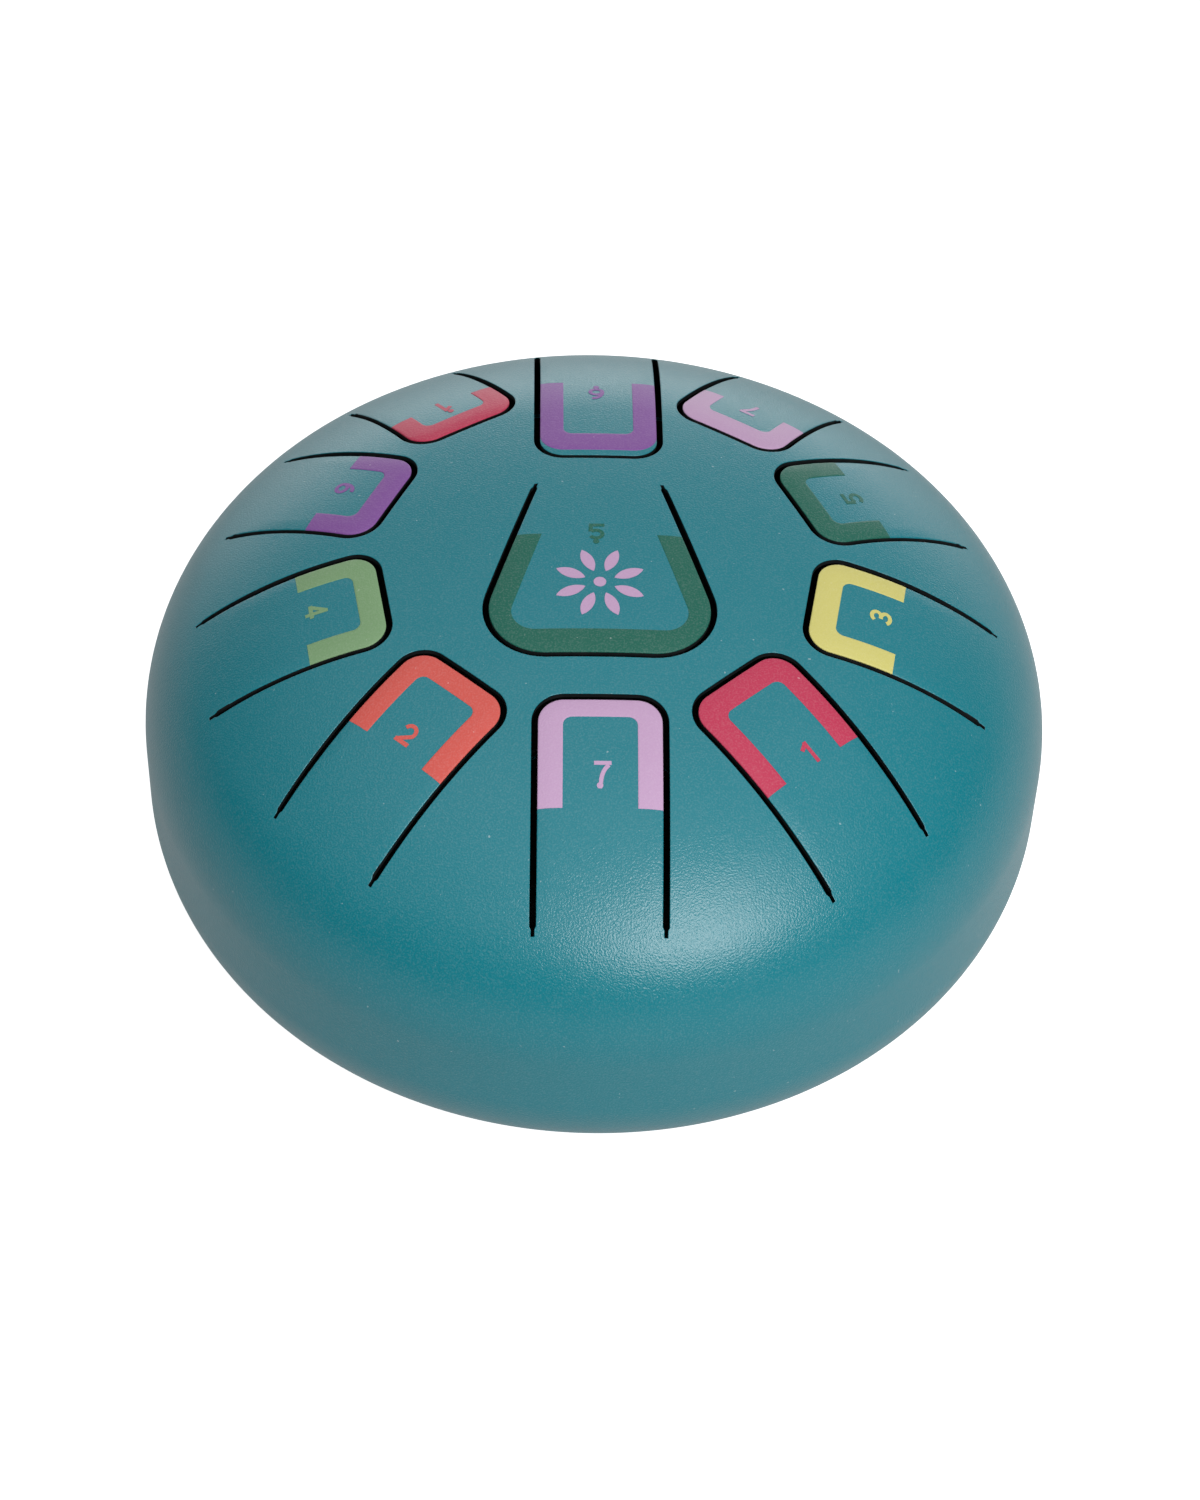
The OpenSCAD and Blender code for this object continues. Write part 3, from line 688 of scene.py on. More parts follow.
def tongue_tree():
    """A box of cells, moved point by point into a tongue."""
    tree, given, terms = new_tree("tongue", SHAPE_INPUTS + ["Thickness"] + ROLL_INPUTS)
    tip, root, half_w, corner, taper, direction, thickness, roll_d, roll_w_in, edge = terms
    box, (along, across, layer) = box_of_cells(tree, tongue_cells)
    step = layer * tongue_cells[2]
    rounding = (step - 1).share(0, tongue_cells[2] - 1) * (pi / 2)
    reach = corner - edge * (1 - rounding.cos())
    round_share = corner_cells / tongue_cells[0]
    swing = along.share(0, round_share) * (taper + pi / 2) - pi / 2
    straight = along.share(round_share, 1)
    corner_x = tip + corner + reach * swing.sin()
    x = corner_x + (root - corner_x) * straight
    half = half_w - corner + reach * swing.cos() - (x - corner_x) * taper.sin() / taper.cos()
    y = crowded(across * 2 - 1) * half
    depth = edge * (1 - rounding.sin()) + (thickness - edge) * (1 - step.above(0.5))
    roll = rolled_by(x, y, (tip, root, half_w, corner, taper), (roll_d, roll_w_in))
    z = sheet_height((x * x + y * y).sqrt(), depth) - roll
    finish_tree(tree, given, box.outputs["Mesh"], x, y, z, direction)
    return tree


def shape_of(tongue):
    """The inputs that the tongue and its band share."""
    return {
        "Tip": tongue.tip,
        "Root": tongue.root,
        "Half width": tongue.half_w,
        "Corner radius": tongue.corner_r,
        "Taper": tongue.taper,
        "Direction": tongue.direction,
        "Roll depth": roll_depth,
        "Roll width": roll_w,
        "Edge radius": edge_r,
    }


tongue_nodes = tongue_tree()
print("tree of a tongue:", len(tongue_nodes.nodes), "nodes for", tongue_cells, "cells")

# %% [markdown]
# Each tongue is the tree's result as a plain mesh, one for each sounding body. Seen from outside,
# a real tongue and its shell are one skin, so the corners along the root line are told to face just
# as the sheet does.

# %% Eleven tongues
sharp_angle = radians(50)
top_lean = 0.5
edge_lean = 0.3
bend_l = 10 * mm


def true_root(piece, tongue):
    """Gives the tongue's root line the sheet's own direction, so that no joint shows there."""
    mesh = piece.data
    mesh.set_sharp_from_angle(angle=sharp_angle)
    places = np.empty(len(mesh.vertices) * 3)
    mesh.vertices.foreach_get("co", places)
    plan = places.reshape(-1, 3)[:, :2]
    along = plan @ np.array((cos(tongue.direction), sin(tongue.direction)))
    at_root = along > tongue.root - same_spot
    facing = upper_facing(plan)
    normals = np.zeros((len(mesh.loops), 3))
    for face in mesh.polygons:
        if face.normal.z > top_lean:
            for loop, vertex in zip(face.loop_indices, face.vertices):
                if at_root[vertex]:
                    normals[loop] = facing[vertex]
    mesh.normals_split_custom_set(normals.tolist())


for tongue in TONGUES:
    piece = grown("steel_" + tongue.body, tongue_nodes,
                  {**shape_of(tongue), "Thickness": sheet_t, "Material": teal})
    true_root(piece, tongue)
    # The slot walls and underside take the near-black bare steel, which is partly painted shade
    bare_and_shade_count = leave_bare_and_shaded(piece, lambda centres, facings: facings[:, 2] < edge_lean)
    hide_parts(tongue.body)
    bend_end = tongue.point(tongue.root - bend_l)
    tongue.point(tongue.root)
    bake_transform(piece)
print("each tongue has", len(piece.data.polygons), "faces,", bare_and_shade_count, "of them bare")

# %% [markdown]
# A coloured band marks each note. It is a thin printed film that runs in a U round the tip, lies over
# the rolled edge and is open towards the root. A band could be cut out of a copy of the tongue, but
# a strip that follows the outline by rule has clean rows of faces along both of its edges, so it is
# grown by a second tree that bends a long box round the same corners.

# %% Tree of a note band
film_t = 0.1 * mm
band_w = 6.5 * mm
film_sink = 0.03 * mm
band_cells = (132, 12, 3)
tip_share = 0.14
corner_share = 0.46
inner_tuck_share = 0.3


def bent_edge(swing, tip_way, arm_way, centre_x, centre_y, radius, taper, end):
    """A point of the strip's edge: across the tip, round the corner and along the arm."""
    arm_start = centre_x + radius * taper.sin()
    run = (end - arm_start) * arm_way
    x = centre_x + radius * swing.sin() + run
    y = centre_y * tip_way + radius * swing.cos() - run * taper.sin() / taper.cos()
    return x, y


def band_tree():
    """A long box, bent round the tip of a tongue and laid on its rolled edge."""
    own = ["Band in", "Band end", "Tip width", "Arm width", "Inner radius", "Film", "Sink"]
    tree, given, terms = new_tree("note_band", SHAPE_INPUTS + ROLL_INPUTS + own)
    tip, root, half_w, corner, taper, direction, roll_d, roll_w_in, edge = terms[:9]
    band_in, end, tip_w, arm_w, inner_r, film, sink = terms[9:]
    box, (along, inwards, layer) = box_of_cells(tree, band_cells)
    signed = along * 2 - 1
    way = signed.size()
    side = signed.above(0) * 2 - 1
    tip_way = way.share(0, tip_share)
    swing = way.share(tip_share, corner_share) * (taper + pi / 2) - pi / 2
    arm_way = way.share(corner_share, 1)
    rounding = layer * (pi / 2)
    tuck = edge * (1 - rounding.cos())
    # A band that is set back from the tip has its corner shifted along the tongue's straight side
    outer_cx = tip + band_in + corner
    outer_cy = half_w - corner - band_in * taper.sin() / taper.cos()
    outer_x, outer_y = bent_edge(
        swing, tip_way, arm_way, outer_cx, outer_cy, corner - tuck, taper, end)
    # The inner corner lies where the band keeps its width at the tip and along the arms
    inner_cx = tip + band_in + tip_w + inner_r
    side_drop = (inner_cx - tip - corner) * taper.sin() / taper.cos()
    inner_cy = half_w - corner - side_drop + (corner - arm_w - inner_r) / taper.cos()
    inner_x, inner_y = bent_edge(
        swing, tip_way, arm_way, inner_cx, inner_cy, inner_r + tuck * inner_tuck_share, taper, end)
    x = outer_x + (inner_x - outer_x) * inwards
    y = (outer_y + (inner_y - outer_y) * inwards) * side
    low = edge + (sink - edge) * inwards
    depth = low - (low + film) * rounding.sin()
    roll = rolled_by(x, y, (tip, root, half_w, corner, taper), (roll_d, roll_w_in))
    z = sheet_height((x * x + y * y).sqrt(), depth) - roll
    finish_tree(tree, given, box.outputs["Mesh"], x, y, z, direction)
    return tree


band_nodes = band_tree()
print("tree of a band:", len(band_nodes.nodes), "nodes for", band_cells, "cells")


# %% Eleven note bands
def stands_for(piece, node, body):
    """Hides the packed node that a piece stands in for, and sets the piece on the body that it rides on.
    """
    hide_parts(node)
    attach(piece, body)


for tongue in TONGUES:
    inputs = {**shape_of(tongue), "Band in": tongue.band_in, "Band end": tongue.band_end,
              "Tip width": tongue.band_tip_w, "Arm width": band_w,
              "Inner radius": tongue.band_corner_r, "Film": film_t, "Sink": film_sink,
              "Material": films[tongue.colour]}
    piece = grown("film_band_" + tongue.note, band_nodes, inputs)
    piece.data.flip_normals()
    piece.data.set_sharp_from_angle(angle=sharp_angle)
    stands_for(piece, "band_" + tongue.note, tongue.body)
print("each band has", len(piece.data.polygons), "faces")

# %% [markdown]
# The shells are one skin with an outside, an inside and the cut edges between them. A modifier could
# thicken and cut a bowl, but cuts on a curved mesh leave smudges in the gloss. So the plan is filled
# with triangles first, openings left out, and then lifted on to the arcs. Each face corner is told
# exactly which way the sheet faces there, and the satin highlight comes out clean.

# %% A builder for pieces of sheet
class Sheet:
    """Points and faces of a piece, with the direction that its surface has at each face corner."""

    def __init__(self):
        self.rings = []
        self.count = 0
        self.blocks = []

    def add(self, points):
        """Adds points and gives their numbers."""
        numbers = np.arange(self.count, self.count + len(points))
        self.rings.append(np.asarray(points, float))
        self.count += len(points)
        return numbers

    def skin(self, triangles, facing):
        """Adds triangles. facing holds a direction for each of their corners."""
        self.blocks.append((triangles, facing))

    def strip(self, ring, other, facing, other_facing):
        """Adds four-sided faces between two closed rings of as many points."""
        after, other_after = np.roll(ring, -1), np.roll(other, -1)
        corners = np.column_stack((ring, after, other_after, other))
        facing_after, other_facing_after = np.roll(facing, -1, 0), np.roll(other_facing, -1, 0)
        facings = np.stack((facing, facing_after, other_facing_after, other_facing), 1)
        self.blocks.append((corners, facings))

    def piece(self, name, material):
        """The finished object. A face whose winding disagrees with its directions is turned round."""
        points = np.concatenate(self.rings)
        faces, normals = [], []
        for corners, facings in self.blocks:
            first, second, third = (points[corners[:, i]] for i in range(3))
            wound = np.cross(second - first, third - first)
            turned = (wound * facings.mean(1)).sum(1) < 0
            corners, facings = corners.copy(), facings.copy()
            corners[turned] = corners[turned][:, ::-1]
            facings[turned] = facings[turned][:, ::-1]
            faces += corners.tolist()
            normals.append(facings.reshape(-1, 3))
        mesh = bpy.data.meshes.new(name)
        mesh.from_pydata(points.tolist(), [], faces)
        mesh.shade_smooth()
        mesh.normals_split_custom_set(np.concatenate(normals).tolist())
        mesh.materials.append(material)
        return new_object(name, mesh)


# %% Rings and revolved sections
ring_steps = 720
ring_angles = np.arange(ring_steps) * 2 * pi / ring_steps
ring_plan = np.column_stack((np.cos(ring_angles), np.sin(ring_angles)))


def circle(r, z):
    """Points of a level circle round the drum's axis."""
    return np.column_stack((ring_plan * r, np.full(ring_steps, z)))


def arc(centre, z, arc_r, start, end, steps, side=1):
    """A stretch of a section: its points, and the direction that the surface has at each."""
    angles = np.linspace(start, end, steps + 1)
    leans = np.column_stack((np.sin(angles), np.cos(angles)))
    return leans * arc_r + (centre, z), leans * side


def straight(start, end, facing):
    """A straight stretch of a section, which faces one way all along."""
    return np.array((start, end)), np.array((facing, facing), float)


def revolve(sheet, stretches, first, last):
    """Turns a section round the axis, from one ring that is there already to another."""
    ring = first
    for index, (points, leans) in enumerate(stretches):
        facings = [np.column_stack((ring_plan * out, np.full(ring_steps, up))) for out, up in leans]
        for i in range(1, len(points)):
            closing = index == len(stretches) - 1 and i == len(points) - 1
            new = last if closing else sheet.add(circle(*points[i]))
            sheet.strip(ring, new, facings[i - 1], facings[i])
            ring = new


print("a ring round the rim has a point every", round(2 * pi * drum_r / ring_steps / mm, 2), "mm")

# %% Inside and turn of an outline
def inside(points, outline):
    """Which points lie inside a closed outline, by counting the edges that they see along x."""
    x, y = points[:, 0], points[:, 1]
    found = np.zeros(len(points), bool)
    for (x0, y0), (x1, y1) in zip(outline, np.roll(outline, -1, 0)):
        crossed = (y0 > y) != (y1 > y)
        with np.errstate(divide="ignore", invalid="ignore"):
            found ^= crossed & (x < (x1 - x0) * (y - y0) / (y1 - y0) + x0)
    return found


def turns_left(outline):
    """Whether an outline runs anticlockwise."""
    after = np.roll(outline, -1, 0)
    return (outline[:, 0] * after[:, 1] - outline[:, 1] * after[:, 0]).sum() > 0


print("the points of a ring run anticlockwise:", bool(turns_left(ring_plan)))

# %% Filling a plan with triangles
# The rows of a lattice of even triangles lie the first share of its spacing apart, and its points
# keep the second share clear of the outlines
row_share = 0.866
clear_share = 0.55
spare_rows = 9
trial_gap = 0.1


def triangles_of(points, outlines, wanted):
    """Triangles over the points whose outlines, as a set of numbers, pass a test."""
    outlines = [list(o) if turns_left(points[list(o)]) else list(o)[::-1] for o in outlines]
    result = delaunay_2d_cdt([Vector(p) for p in points.tolist()], [], outlines, 0, tiny, True)
    coords, _, faces, came_from, _, in_outlines = result
    kept = [f for f, within in zip(faces, in_outlines) if wanted(set(within))]
    return np.array([tuple(c) for c in coords]), np.array(kept), came_from


def fill(outer, openings, spacing):
    """Triangles of a plan between an outer outline and its openings, with points spread inside.

    The outlines' points keep their order and come first."""
    outlines = [outer] + openings
    edge_points = np.concatenate(outlines)
    starts = np.cumsum([0] + [len(o) for o in outlines])
    reach = np.abs(outer).max()
    rows = int(reach / spacing) + 1
    levels = range(-rows - spare_rows, rows + spare_rows + 1)
    lattice = np.array([(spacing * (i + (j % 2) / 2), spacing * j * row_share)
                        for i in range(-rows, rows + 1) for j in levels])
    lattice = lattice[inside(lattice, outer)]
    for opening in openings:
        lattice = lattice[~inside(lattice, opening)]
    clear = np.ones(len(lattice), bool)
    for x, y in edge_points:
        clear &= (lattice[:, 0] - x) ** 2 + (lattice[:, 1] - y) ** 2 > (clear_share * spacing) ** 2
    points = np.concatenate((edge_points, lattice[clear]))
    numbered = [range(a, b) for a, b in zip(starts[:-1], starts[1:])]
    coords, faces, came_from = triangles_of(points, numbered, lambda within: within == {0})
    back = np.array([sources[0] for sources in came_from])
    return points, back[faces]


print("a disc one unit in radius fills with", len(fill(ring_plan, [], trial_gap)[1]), "triangles")

# %% Pressing a sheet with openings
def press(sheet, seams, openings, spacing, height, facing):
    """Fills a plan on both sides of the sheet and walls its openings, whose edges are rounded.

    The first seam is the plan's outer outline. Each opening is its outline and the way into the
    metal at each of its points. Gives the ring of each seam on the outside and on the inside."""
    rims = [outline + inwards * edge_r for outline, inwards in openings]
    plan, faces = fill(seams[0], seams[1:] + rims, spacing)
    outside = sheet.add(np.column_stack((plan, height(plan, 0.0))))
    sheet.skin(outside[faces], facing(plan, 0.0)[faces])
    lengths = [len(seam) for seam in seams] + [len(rim) for rim in rims]
    ends = np.cumsum(lengths)
    numbers = [np.arange(end - length, end) for end, length in zip(ends, lengths)]
    under = plan.copy()
    for (outline, _), rim in zip(openings, numbers[len(seams):]):
        under[rim] = outline
    inner = sheet.add(np.column_stack((under, height(under, sheet_t))))
    sheet.skin(inner[faces], -facing(under, sheet_t)[faces])
    for (outline, inwards), rim in zip(openings, numbers[len(seams):]):
        away = -inwards / np.maximum(np.linalg.norm(inwards, axis=1), tiny)[:, None]
        away = np.column_stack((away, np.zeros(len(away))))
        ring, way = outside[rim], facing(outline, 0.0)
        for turn in (pi / 4, 0):
            lean = facing(outline, 0.0) * sin(turn) + away * cos(turn)
            edge = outline + inwards * edge_r * (1 - cos(turn))
            new = sheet.add(np.column_stack((edge, height(edge, edge_r * (1 - sin(turn))))))
            sheet.strip(ring, new, way, lean)
            ring, way = new, lean
        sheet.strip(ring, inner[rim], away, away)
    return [(outside[seam], inner[seam]) for seam in numbers[:len(seams)]]


print(f"cut edges are rounded by {edge_r / mm:.2f} mm")

# %% [markdown]
# The slots of the upper shell go straight through the sheet and end in a short narrow tail. Boolean
# cuts would leave long thin faces round each slot. Here each opening is an outline of its own: along
# the tongue's root line, out by the slot's inner wall, round the tail and back by the outer wall. Its
# points along the root are those of the tongue's own mesh, so the two skins meet.

# %% Ways along an outline and off it
square_hole = np.array([(1.0, 1.0), (-1.0, 1.0), (-1.0, -1.0), (1.0, -1.0)])


def into_metal(outline):
    """The way into the metal at each point of an opening's outline, mitred at its corners."""
    edges = np.roll(outline, -1, 0) - outline
    edges /= np.linalg.norm(edges, axis=1)[:, None]
    after = np.column_stack((edges[:, 1], -edges[:, 0]))
    before = np.roll(after, 1, 0)
    return (before + after) / (1 + (before * after).sum(1))[:, None]


def along(start, end, gap):
    """Evenly spaced points from start up to, but not at, the end."""
    start, end = np.array(start), np.array(end)
    steps = max(1, round(float(np.linalg.norm(end - start)) / gap))
    return [start + (end - start) * i / steps for i in range(steps)]


print("ways into the metal at a square hole's corners:", into_metal(square_hole).tolist())

# %% Outline of the opening round a tongue
funnel_l = 0.7 * mm
slot_point_gap = 1.4 * mm


def opening_of(tongue):
    """The outline of a tongue's opening in the drum's plan, and the way into the metal."""
    wide_end = tongue.slot_end - tail_l
    funnel_end = wide_end + funnel_l
    tail_in = (slot_w - tail_w) / 2
    tail_out = (slot_w + tail_w) / 2
    count = tongue_cells[1] // 2
    places = np.arange(1, count + 1) / count
    spread = places * (1 - crowding) + np.sin(places * pi / 2) * crowding
    half = [np.array((tongue.root, share * tongue.side(tongue.root))) for share in spread[:-1]]
    stops = [
        (tongue.root, tongue.side(tongue.root)),
        (wide_end, tongue.side(wide_end)),
        (funnel_end, tongue.side(funnel_end, tail_in)),
        (tongue.slot_end, tongue.side(tongue.slot_end, tail_in)),
        (tongue.slot_end, tongue.side(tongue.slot_end, tail_out)),
        (funnel_end, tongue.side(funnel_end, tail_out)),
        (wide_end, tongue.side(wide_end, slot_w)),
    ]
    reach = tongue.corner_r + slot_w
    turns = np.linspace(tongue.taper, -pi / 2, corner_cells + 1)
    corner = [(tongue.tip + tongue.corner_r + reach * sin(a),
               tongue.half_w - tongue.corner_r + reach * cos(a)) for a in turns]
    for start, end in zip(stops, stops[1:] + corner[:1]):
        half += along(start, end, slot_point_gap)
    half += [np.array(p) for p in corner]
    tip_middle = (corner[-1][0], 0.0)
    half += along(corner[-1], tip_middle, slot_point_gap)[1:]
    half = np.array(half)
    mirrored = half[::-1] * (1, -1)
    outline = np.concatenate(([(tongue.root, 0.0)], half, [tip_middle], mirrored))
    inwards = into_metal(outline)
    # The root line isn't an edge of the metal: the tongue goes on from it with the same rounding
    inwards[:count] = np.column_stack((np.zeros(count), -np.append(0, spread[:-1])))
    inwards[count] = (0, -1)
    inwards[len(outline) - count:] = inwards[1:count + 1][::-1] * (1, -1)
    return tongue.to_drum(outline), tongue.to_drum(inwards)


print("points round the opening of the centre tongue:", len(opening_of(centre)[0]))

# %% Upper shell
groove_w = 1.6 * mm
groove_depth = 0.8 * mm
diagonal = 0.7
plate_r = 114 * mm
skin_gap = 1.9 * mm
shoulder_steps = 14
shoulder_centre = drum_r - shoulder_r


def upper_shell():
    """The upper bowl, with an opening round each tongue."""
    sheet = Sheet()
    openings = [opening_of(tongue) for tongue in TONGUES]
    plate = press(sheet, [ring_plan * plate_r], openings, skin_gap, upper_height, upper_facing)
    outside, inner = plate[0]
    start = asin((plate_r - shoulder_centre) / shoulder_r)
    inner_start = asin((plate_r - shoulder_centre) / (shoulder_r - sheet_t))
    inner_r = drum_r - sheet_t
    revolve(sheet, [
        arc(shoulder_centre, side_top_z, shoulder_r, start, pi / 2, shoulder_steps),
        straight((drum_r, side_top_z), (drum_r, seam_z + groove_w / 2), (1, 0)),
        straight((drum_r, seam_z + groove_w / 2), (drum_r - groove_depth, seam_z), (diagonal, -diagonal)),
        straight((drum_r - groove_depth, seam_z), (inner_r, seam_z), (0, -1)),
        straight((inner_r, seam_z), (inner_r, side_top_z), (-1, 0)),
        arc(shoulder_centre, side_top_z, shoulder_r - sheet_t, pi / 2, inner_start, shoulder_steps, -1),
    ], outside, inner)
    return sheet.piece("pressed_upper_shell", teal)


def under_the_skin(centres, facings):
    """The slots' walls and the inside of the upper bowl, which the near-black steel darkens as painted
    shade.
    """
    r = np.hypot(centres[:, 0], centres[:, 1])
    outwards = (centres[:, :2] * facings[:, :2]).sum(1) > 0
    return (facings[:, 2] < edge_lean) & ((r < plate_r) | ~outwards)


shell = upper_shell()
# The slot walls and the inside take the near-black bare steel, partly painted shade
print("bare faces of the upper shell:", leave_bare_and_shaded(shell, under_the_skin))
stands_for(shell, "upper_shell", "drum")
print("upper shell:", len(shell.data.polygons), "faces")

# %% [markdown]
# The lower bowl closes the drum. Its joggled lip stands inside the upper one, its base is flat round
# a sound hole with a turned-up rim, and four holes take the screws of the feet. All of it but those
# holes could be one section, spun by a Screw modifier. So only the flat ring round the holes is
# filled as the upper plan was, and the rest is a section turned round the axis, inwards and outwards.

# %% Sizes and holes of the lower shell
lip_h = 6 * mm
lip_gap = 0.1 * mm
hole_r = 30 * mm
hole_bend_r = 4 * mm
hole_rim_h = 2 * mm
foot_at = 64 * mm
bolt_hole_r = 2.2 * mm
bolt_hole_steps = 48
base_gap = 8 * mm
base_steps = 10
corner_steps = 24
rim_steps = 8
FOOT_TURNS = {"front_right": -45, "back_right": 45, "back_left": 135, "front_left": -135}


def base_height(plan, depth):
    """Height of the flat base: its outside faces the floor."""
    return np.full(len(plan), foot_h + depth)


def base_facing(plan, depth):
    return np.tile((0.0, 0.0, -1.0), (len(plan), 1))


def round_hole(x, y, r, steps):
    """A round opening and the way into the metal round it."""
    angles = np.arange(steps) * 2 * pi / steps
    out = np.column_stack((np.cos(angles), np.sin(angles)))
    return out * r + (x, y), out


print("bolt holes at turns of", list(FOOT_TURNS.values()), "degrees")

# %% Lower shell
def lower_shell():
    """The lower bowl: a flat ring with bolt holes, and its rims revolved from both of its seams."""
    sheet = Sheet()
    turns = [radians(turn) for turn in FOOT_TURNS.values()]
    holes = [round_hole(foot_at * cos(a), foot_at * sin(a), bolt_hole_r, bolt_hole_steps) for a in turns]
    bend_start = hole_r + hole_bend_r
    seams = [ring_plan * base_flat, ring_plan * bend_start]
    outer, middle = press(sheet, seams, holes, base_gap, base_height, base_facing)
    inner_r = drum_r - sheet_t
    lip_r = inner_r - lip_gap
    lip_inner_r = lip_r - sheet_t
    lip_top = seam_z + lip_h
    joggle_z = seam_z - 2 * sheet_t
    corner_centre = drum_r - corner_r
    slope = pi - base_tilt
    revolve(sheet, [
        arc(base_flat, foot_h + base_r, base_r, pi, slope, base_steps),
        arc(corner_centre, corner_z, corner_r, slope, pi / 2, corner_steps),
        straight((drum_r, corner_z), (drum_r, seam_z - groove_w / 2), (1, 0)),
        straight((drum_r, seam_z - groove_w / 2), (drum_r - groove_depth, seam_z), (diagonal, diagonal)),
        straight((drum_r - groove_depth, seam_z), (lip_r, seam_z), (0, 1)),
        straight((lip_r, seam_z), (lip_r, lip_top), (1, 0)),
        straight((lip_r, lip_top), (lip_inner_r, lip_top), (0, 1)),
        straight((lip_inner_r, lip_top), (lip_inner_r, seam_z - sheet_t), (-1, 0)),
        straight((lip_inner_r, seam_z - sheet_t), (inner_r, joggle_z), (-diagonal, diagonal)),
        straight((inner_r, joggle_z), (inner_r, corner_z), (-1, 0)),
        arc(corner_centre, corner_z, corner_r - sheet_t, pi / 2, slope, corner_steps, -1),
        arc(base_flat, foot_h + base_r, base_r - sheet_t, slope, pi, base_steps, -1),
    ], *outer)
    bend_z = foot_h + hole_bend_r
    rim_top = bend_z + hole_rim_h
    outer_turn = 3 * pi / 2
    revolve(sheet, [
        arc(bend_start, bend_z, hole_bend_r, pi, outer_turn, base_steps),
        straight((hole_r, bend_z), (hole_r, rim_top - sheet_t / 2), (-1, 0)),
        arc(hole_r + sheet_t / 2, rim_top - sheet_t / 2, sheet_t / 2, -pi / 2, pi / 2, rim_steps),
        straight((hole_r + sheet_t, rim_top - sheet_t / 2), (hole_r + sheet_t, bend_z), (1, 0)),
        arc(bend_start, bend_z, hole_bend_r - sheet_t, outer_turn, pi, base_steps, -1),
    ], *middle)
    return sheet.piece("pressed_lower_shell", teal)


def inside_the_bowl(centres, facings):
    """The inside of the lower bowl, and the sound hole's rim above its bend, which the near-black steel
    darkens as painted shade.
    """
    in_rim = np.hypot(centres[:, 0], centres[:, 1]) < hole_r + hole_bend_r
    turned_in = ((centres - (0, 0, seam_z)) * facings).sum(1) < 0
    over_bend = (centres[:, 2] > foot_h + hole_bend_r) | (facings[:, 2] > 0)
    return np.where(in_rim, over_bend, turned_in)


bowl = lower_shell()
# The inside and the hole's rim take the near-black bare steel, partly painted shade
print("bare faces of the lower shell:", leave_bare_and_shaded(bowl, inside_the_bowl))
stands_for(bowl, "lower_shell", "drum")
print("lower shell:", len(bowl.data.polygons), "faces")

# %% [markdown]
# The two bowls are welded all round through a small groove where their rims meet. The bead is ground
# flush before the coat goes on, so nothing of it shows and a torus with ripples would be wasted. But
# the piece is there and fills the groove: a closed section of three sides, turned like the shells.

# %% Seam weld
def seam_weld():
    """The bead in the groove round the seam, as a closed section turned round the axis."""
    sheet = Sheet()
    top = (drum_r, seam_z + groove_w / 2)
    root = (drum_r - groove_depth, seam_z)
    foot = (drum_r, seam_z - groove_w / 2)
    ring = sheet.add(circle(*top))
    revolve(sheet, [
        straight(top, root, (-diagonal, diagonal)),
        straight(root, foot, (-diagonal, -diagonal)),
        straight(foot, top, (1, 0)),
    ], ring, ring)
    return sheet.piece("ground_seam_weld", teal)


weld = seam_weld()
stands_for(weld, "seam_weld", "drum")
print("weld bead:", len(weld.data.polygons), "faces")

# %% [markdown]
# Numerals name the notes, as in numbered notation: 1 to 7, with a dot over or under for the octave.
# A text object would bring somebody's letterforms along, so the digits are drawn here from straight
# and curved strokes, in shares of a digit's half width and height. Overlapping strokes go into one
# triangulation, which leaves a single thin film that follows the sheet.

# %% Strokes of a digit
numeral_across = 1.7 * mm
numeral_up = 2.5 * mm
stroke_w = 1.1 * mm
dot_r = 0.85 * mm
stroke_points = 16


def line(*points):
    """A stroke's middle line through points given as shares of the digit's half width and height."""
    return np.array(points) * (numeral_across, numeral_up)


def oval(centre, radii, start, end):
    """A stroke's middle line along an oval, between two angles in degrees."""
    angles = np.radians(np.linspace(start, end, stroke_points))
    scale = np.array((numeral_across, numeral_up))
    return (np.column_stack((np.cos(angles), np.sin(angles))) * radii + centre) * scale


def thickened(middle, width):
    """The outline of a stroke along its middle line, with square ends."""
    run = np.gradient(middle, axis=0)
    run /= np.linalg.norm(run, axis=1)[:, None]
    sideways = np.column_stack((-run[:, 1], run[:, 0])) * width / 2
    return np.concatenate((middle + sideways, (middle - sideways)[::-1]))


end_share = stroke_w / 2 / numeral_up
side_share = stroke_w / 2 / numeral_across
DIGITS = {
    1: [line((0.45, -1 - end_share), (0.45, 1 + end_share)), line((-0.75, 0.5), (0.45, 1))],
    2: [oval((0, 0.32), (1, 0.68), 165, -34), line((0.86, -0.03), (-0.95, -0.93)),
        line((-1 - side_share, -1), (1 + side_share, -1))],
    3: [oval((0, 0.5), (0.92, 0.5), 160, -92), oval((0, -0.5), (1, 0.5), 92, -160),
        line((-0.3, 0), (0.1, 0))],
    4: [line((0.5, -1 - end_share), (0.5, 1 + end_share)), line((0.45, 1), (-1, -0.55)),
        line((-1 - side_share, -0.55), (1 + side_share, -0.55))],
    5: [line((-1, 1), (1 + side_share, 1)), line((-0.8, 1 + end_share), (-0.9, 0)),
        oval((0, -0.4), (1, 0.6), 140, -150)],
    6: [oval((0, -0.4), (1, 0.6), -15, 195), oval((0, -0.4), (1, 0.6), 165, 375),
        oval((0.5, -0.4), (1.5, 1.4), 82, 172)],
    7: [line((-1 - side_share, 1), (1 + side_share, 1)), oval((2.27, -1.2), (2.52, 2.3), 122, 181)],
}
# An octave dot lies over or under the middle of its digit, but under the foot of the 7
DOT_PLACES = {5: 0, 6: 0, 7: -0.4, 1: 0}
print("strokes of each digit:", {digit: len(strokes) for digit, strokes in DIGITS.items()})


# %% Films drawn in the plan
disc_steps = 28


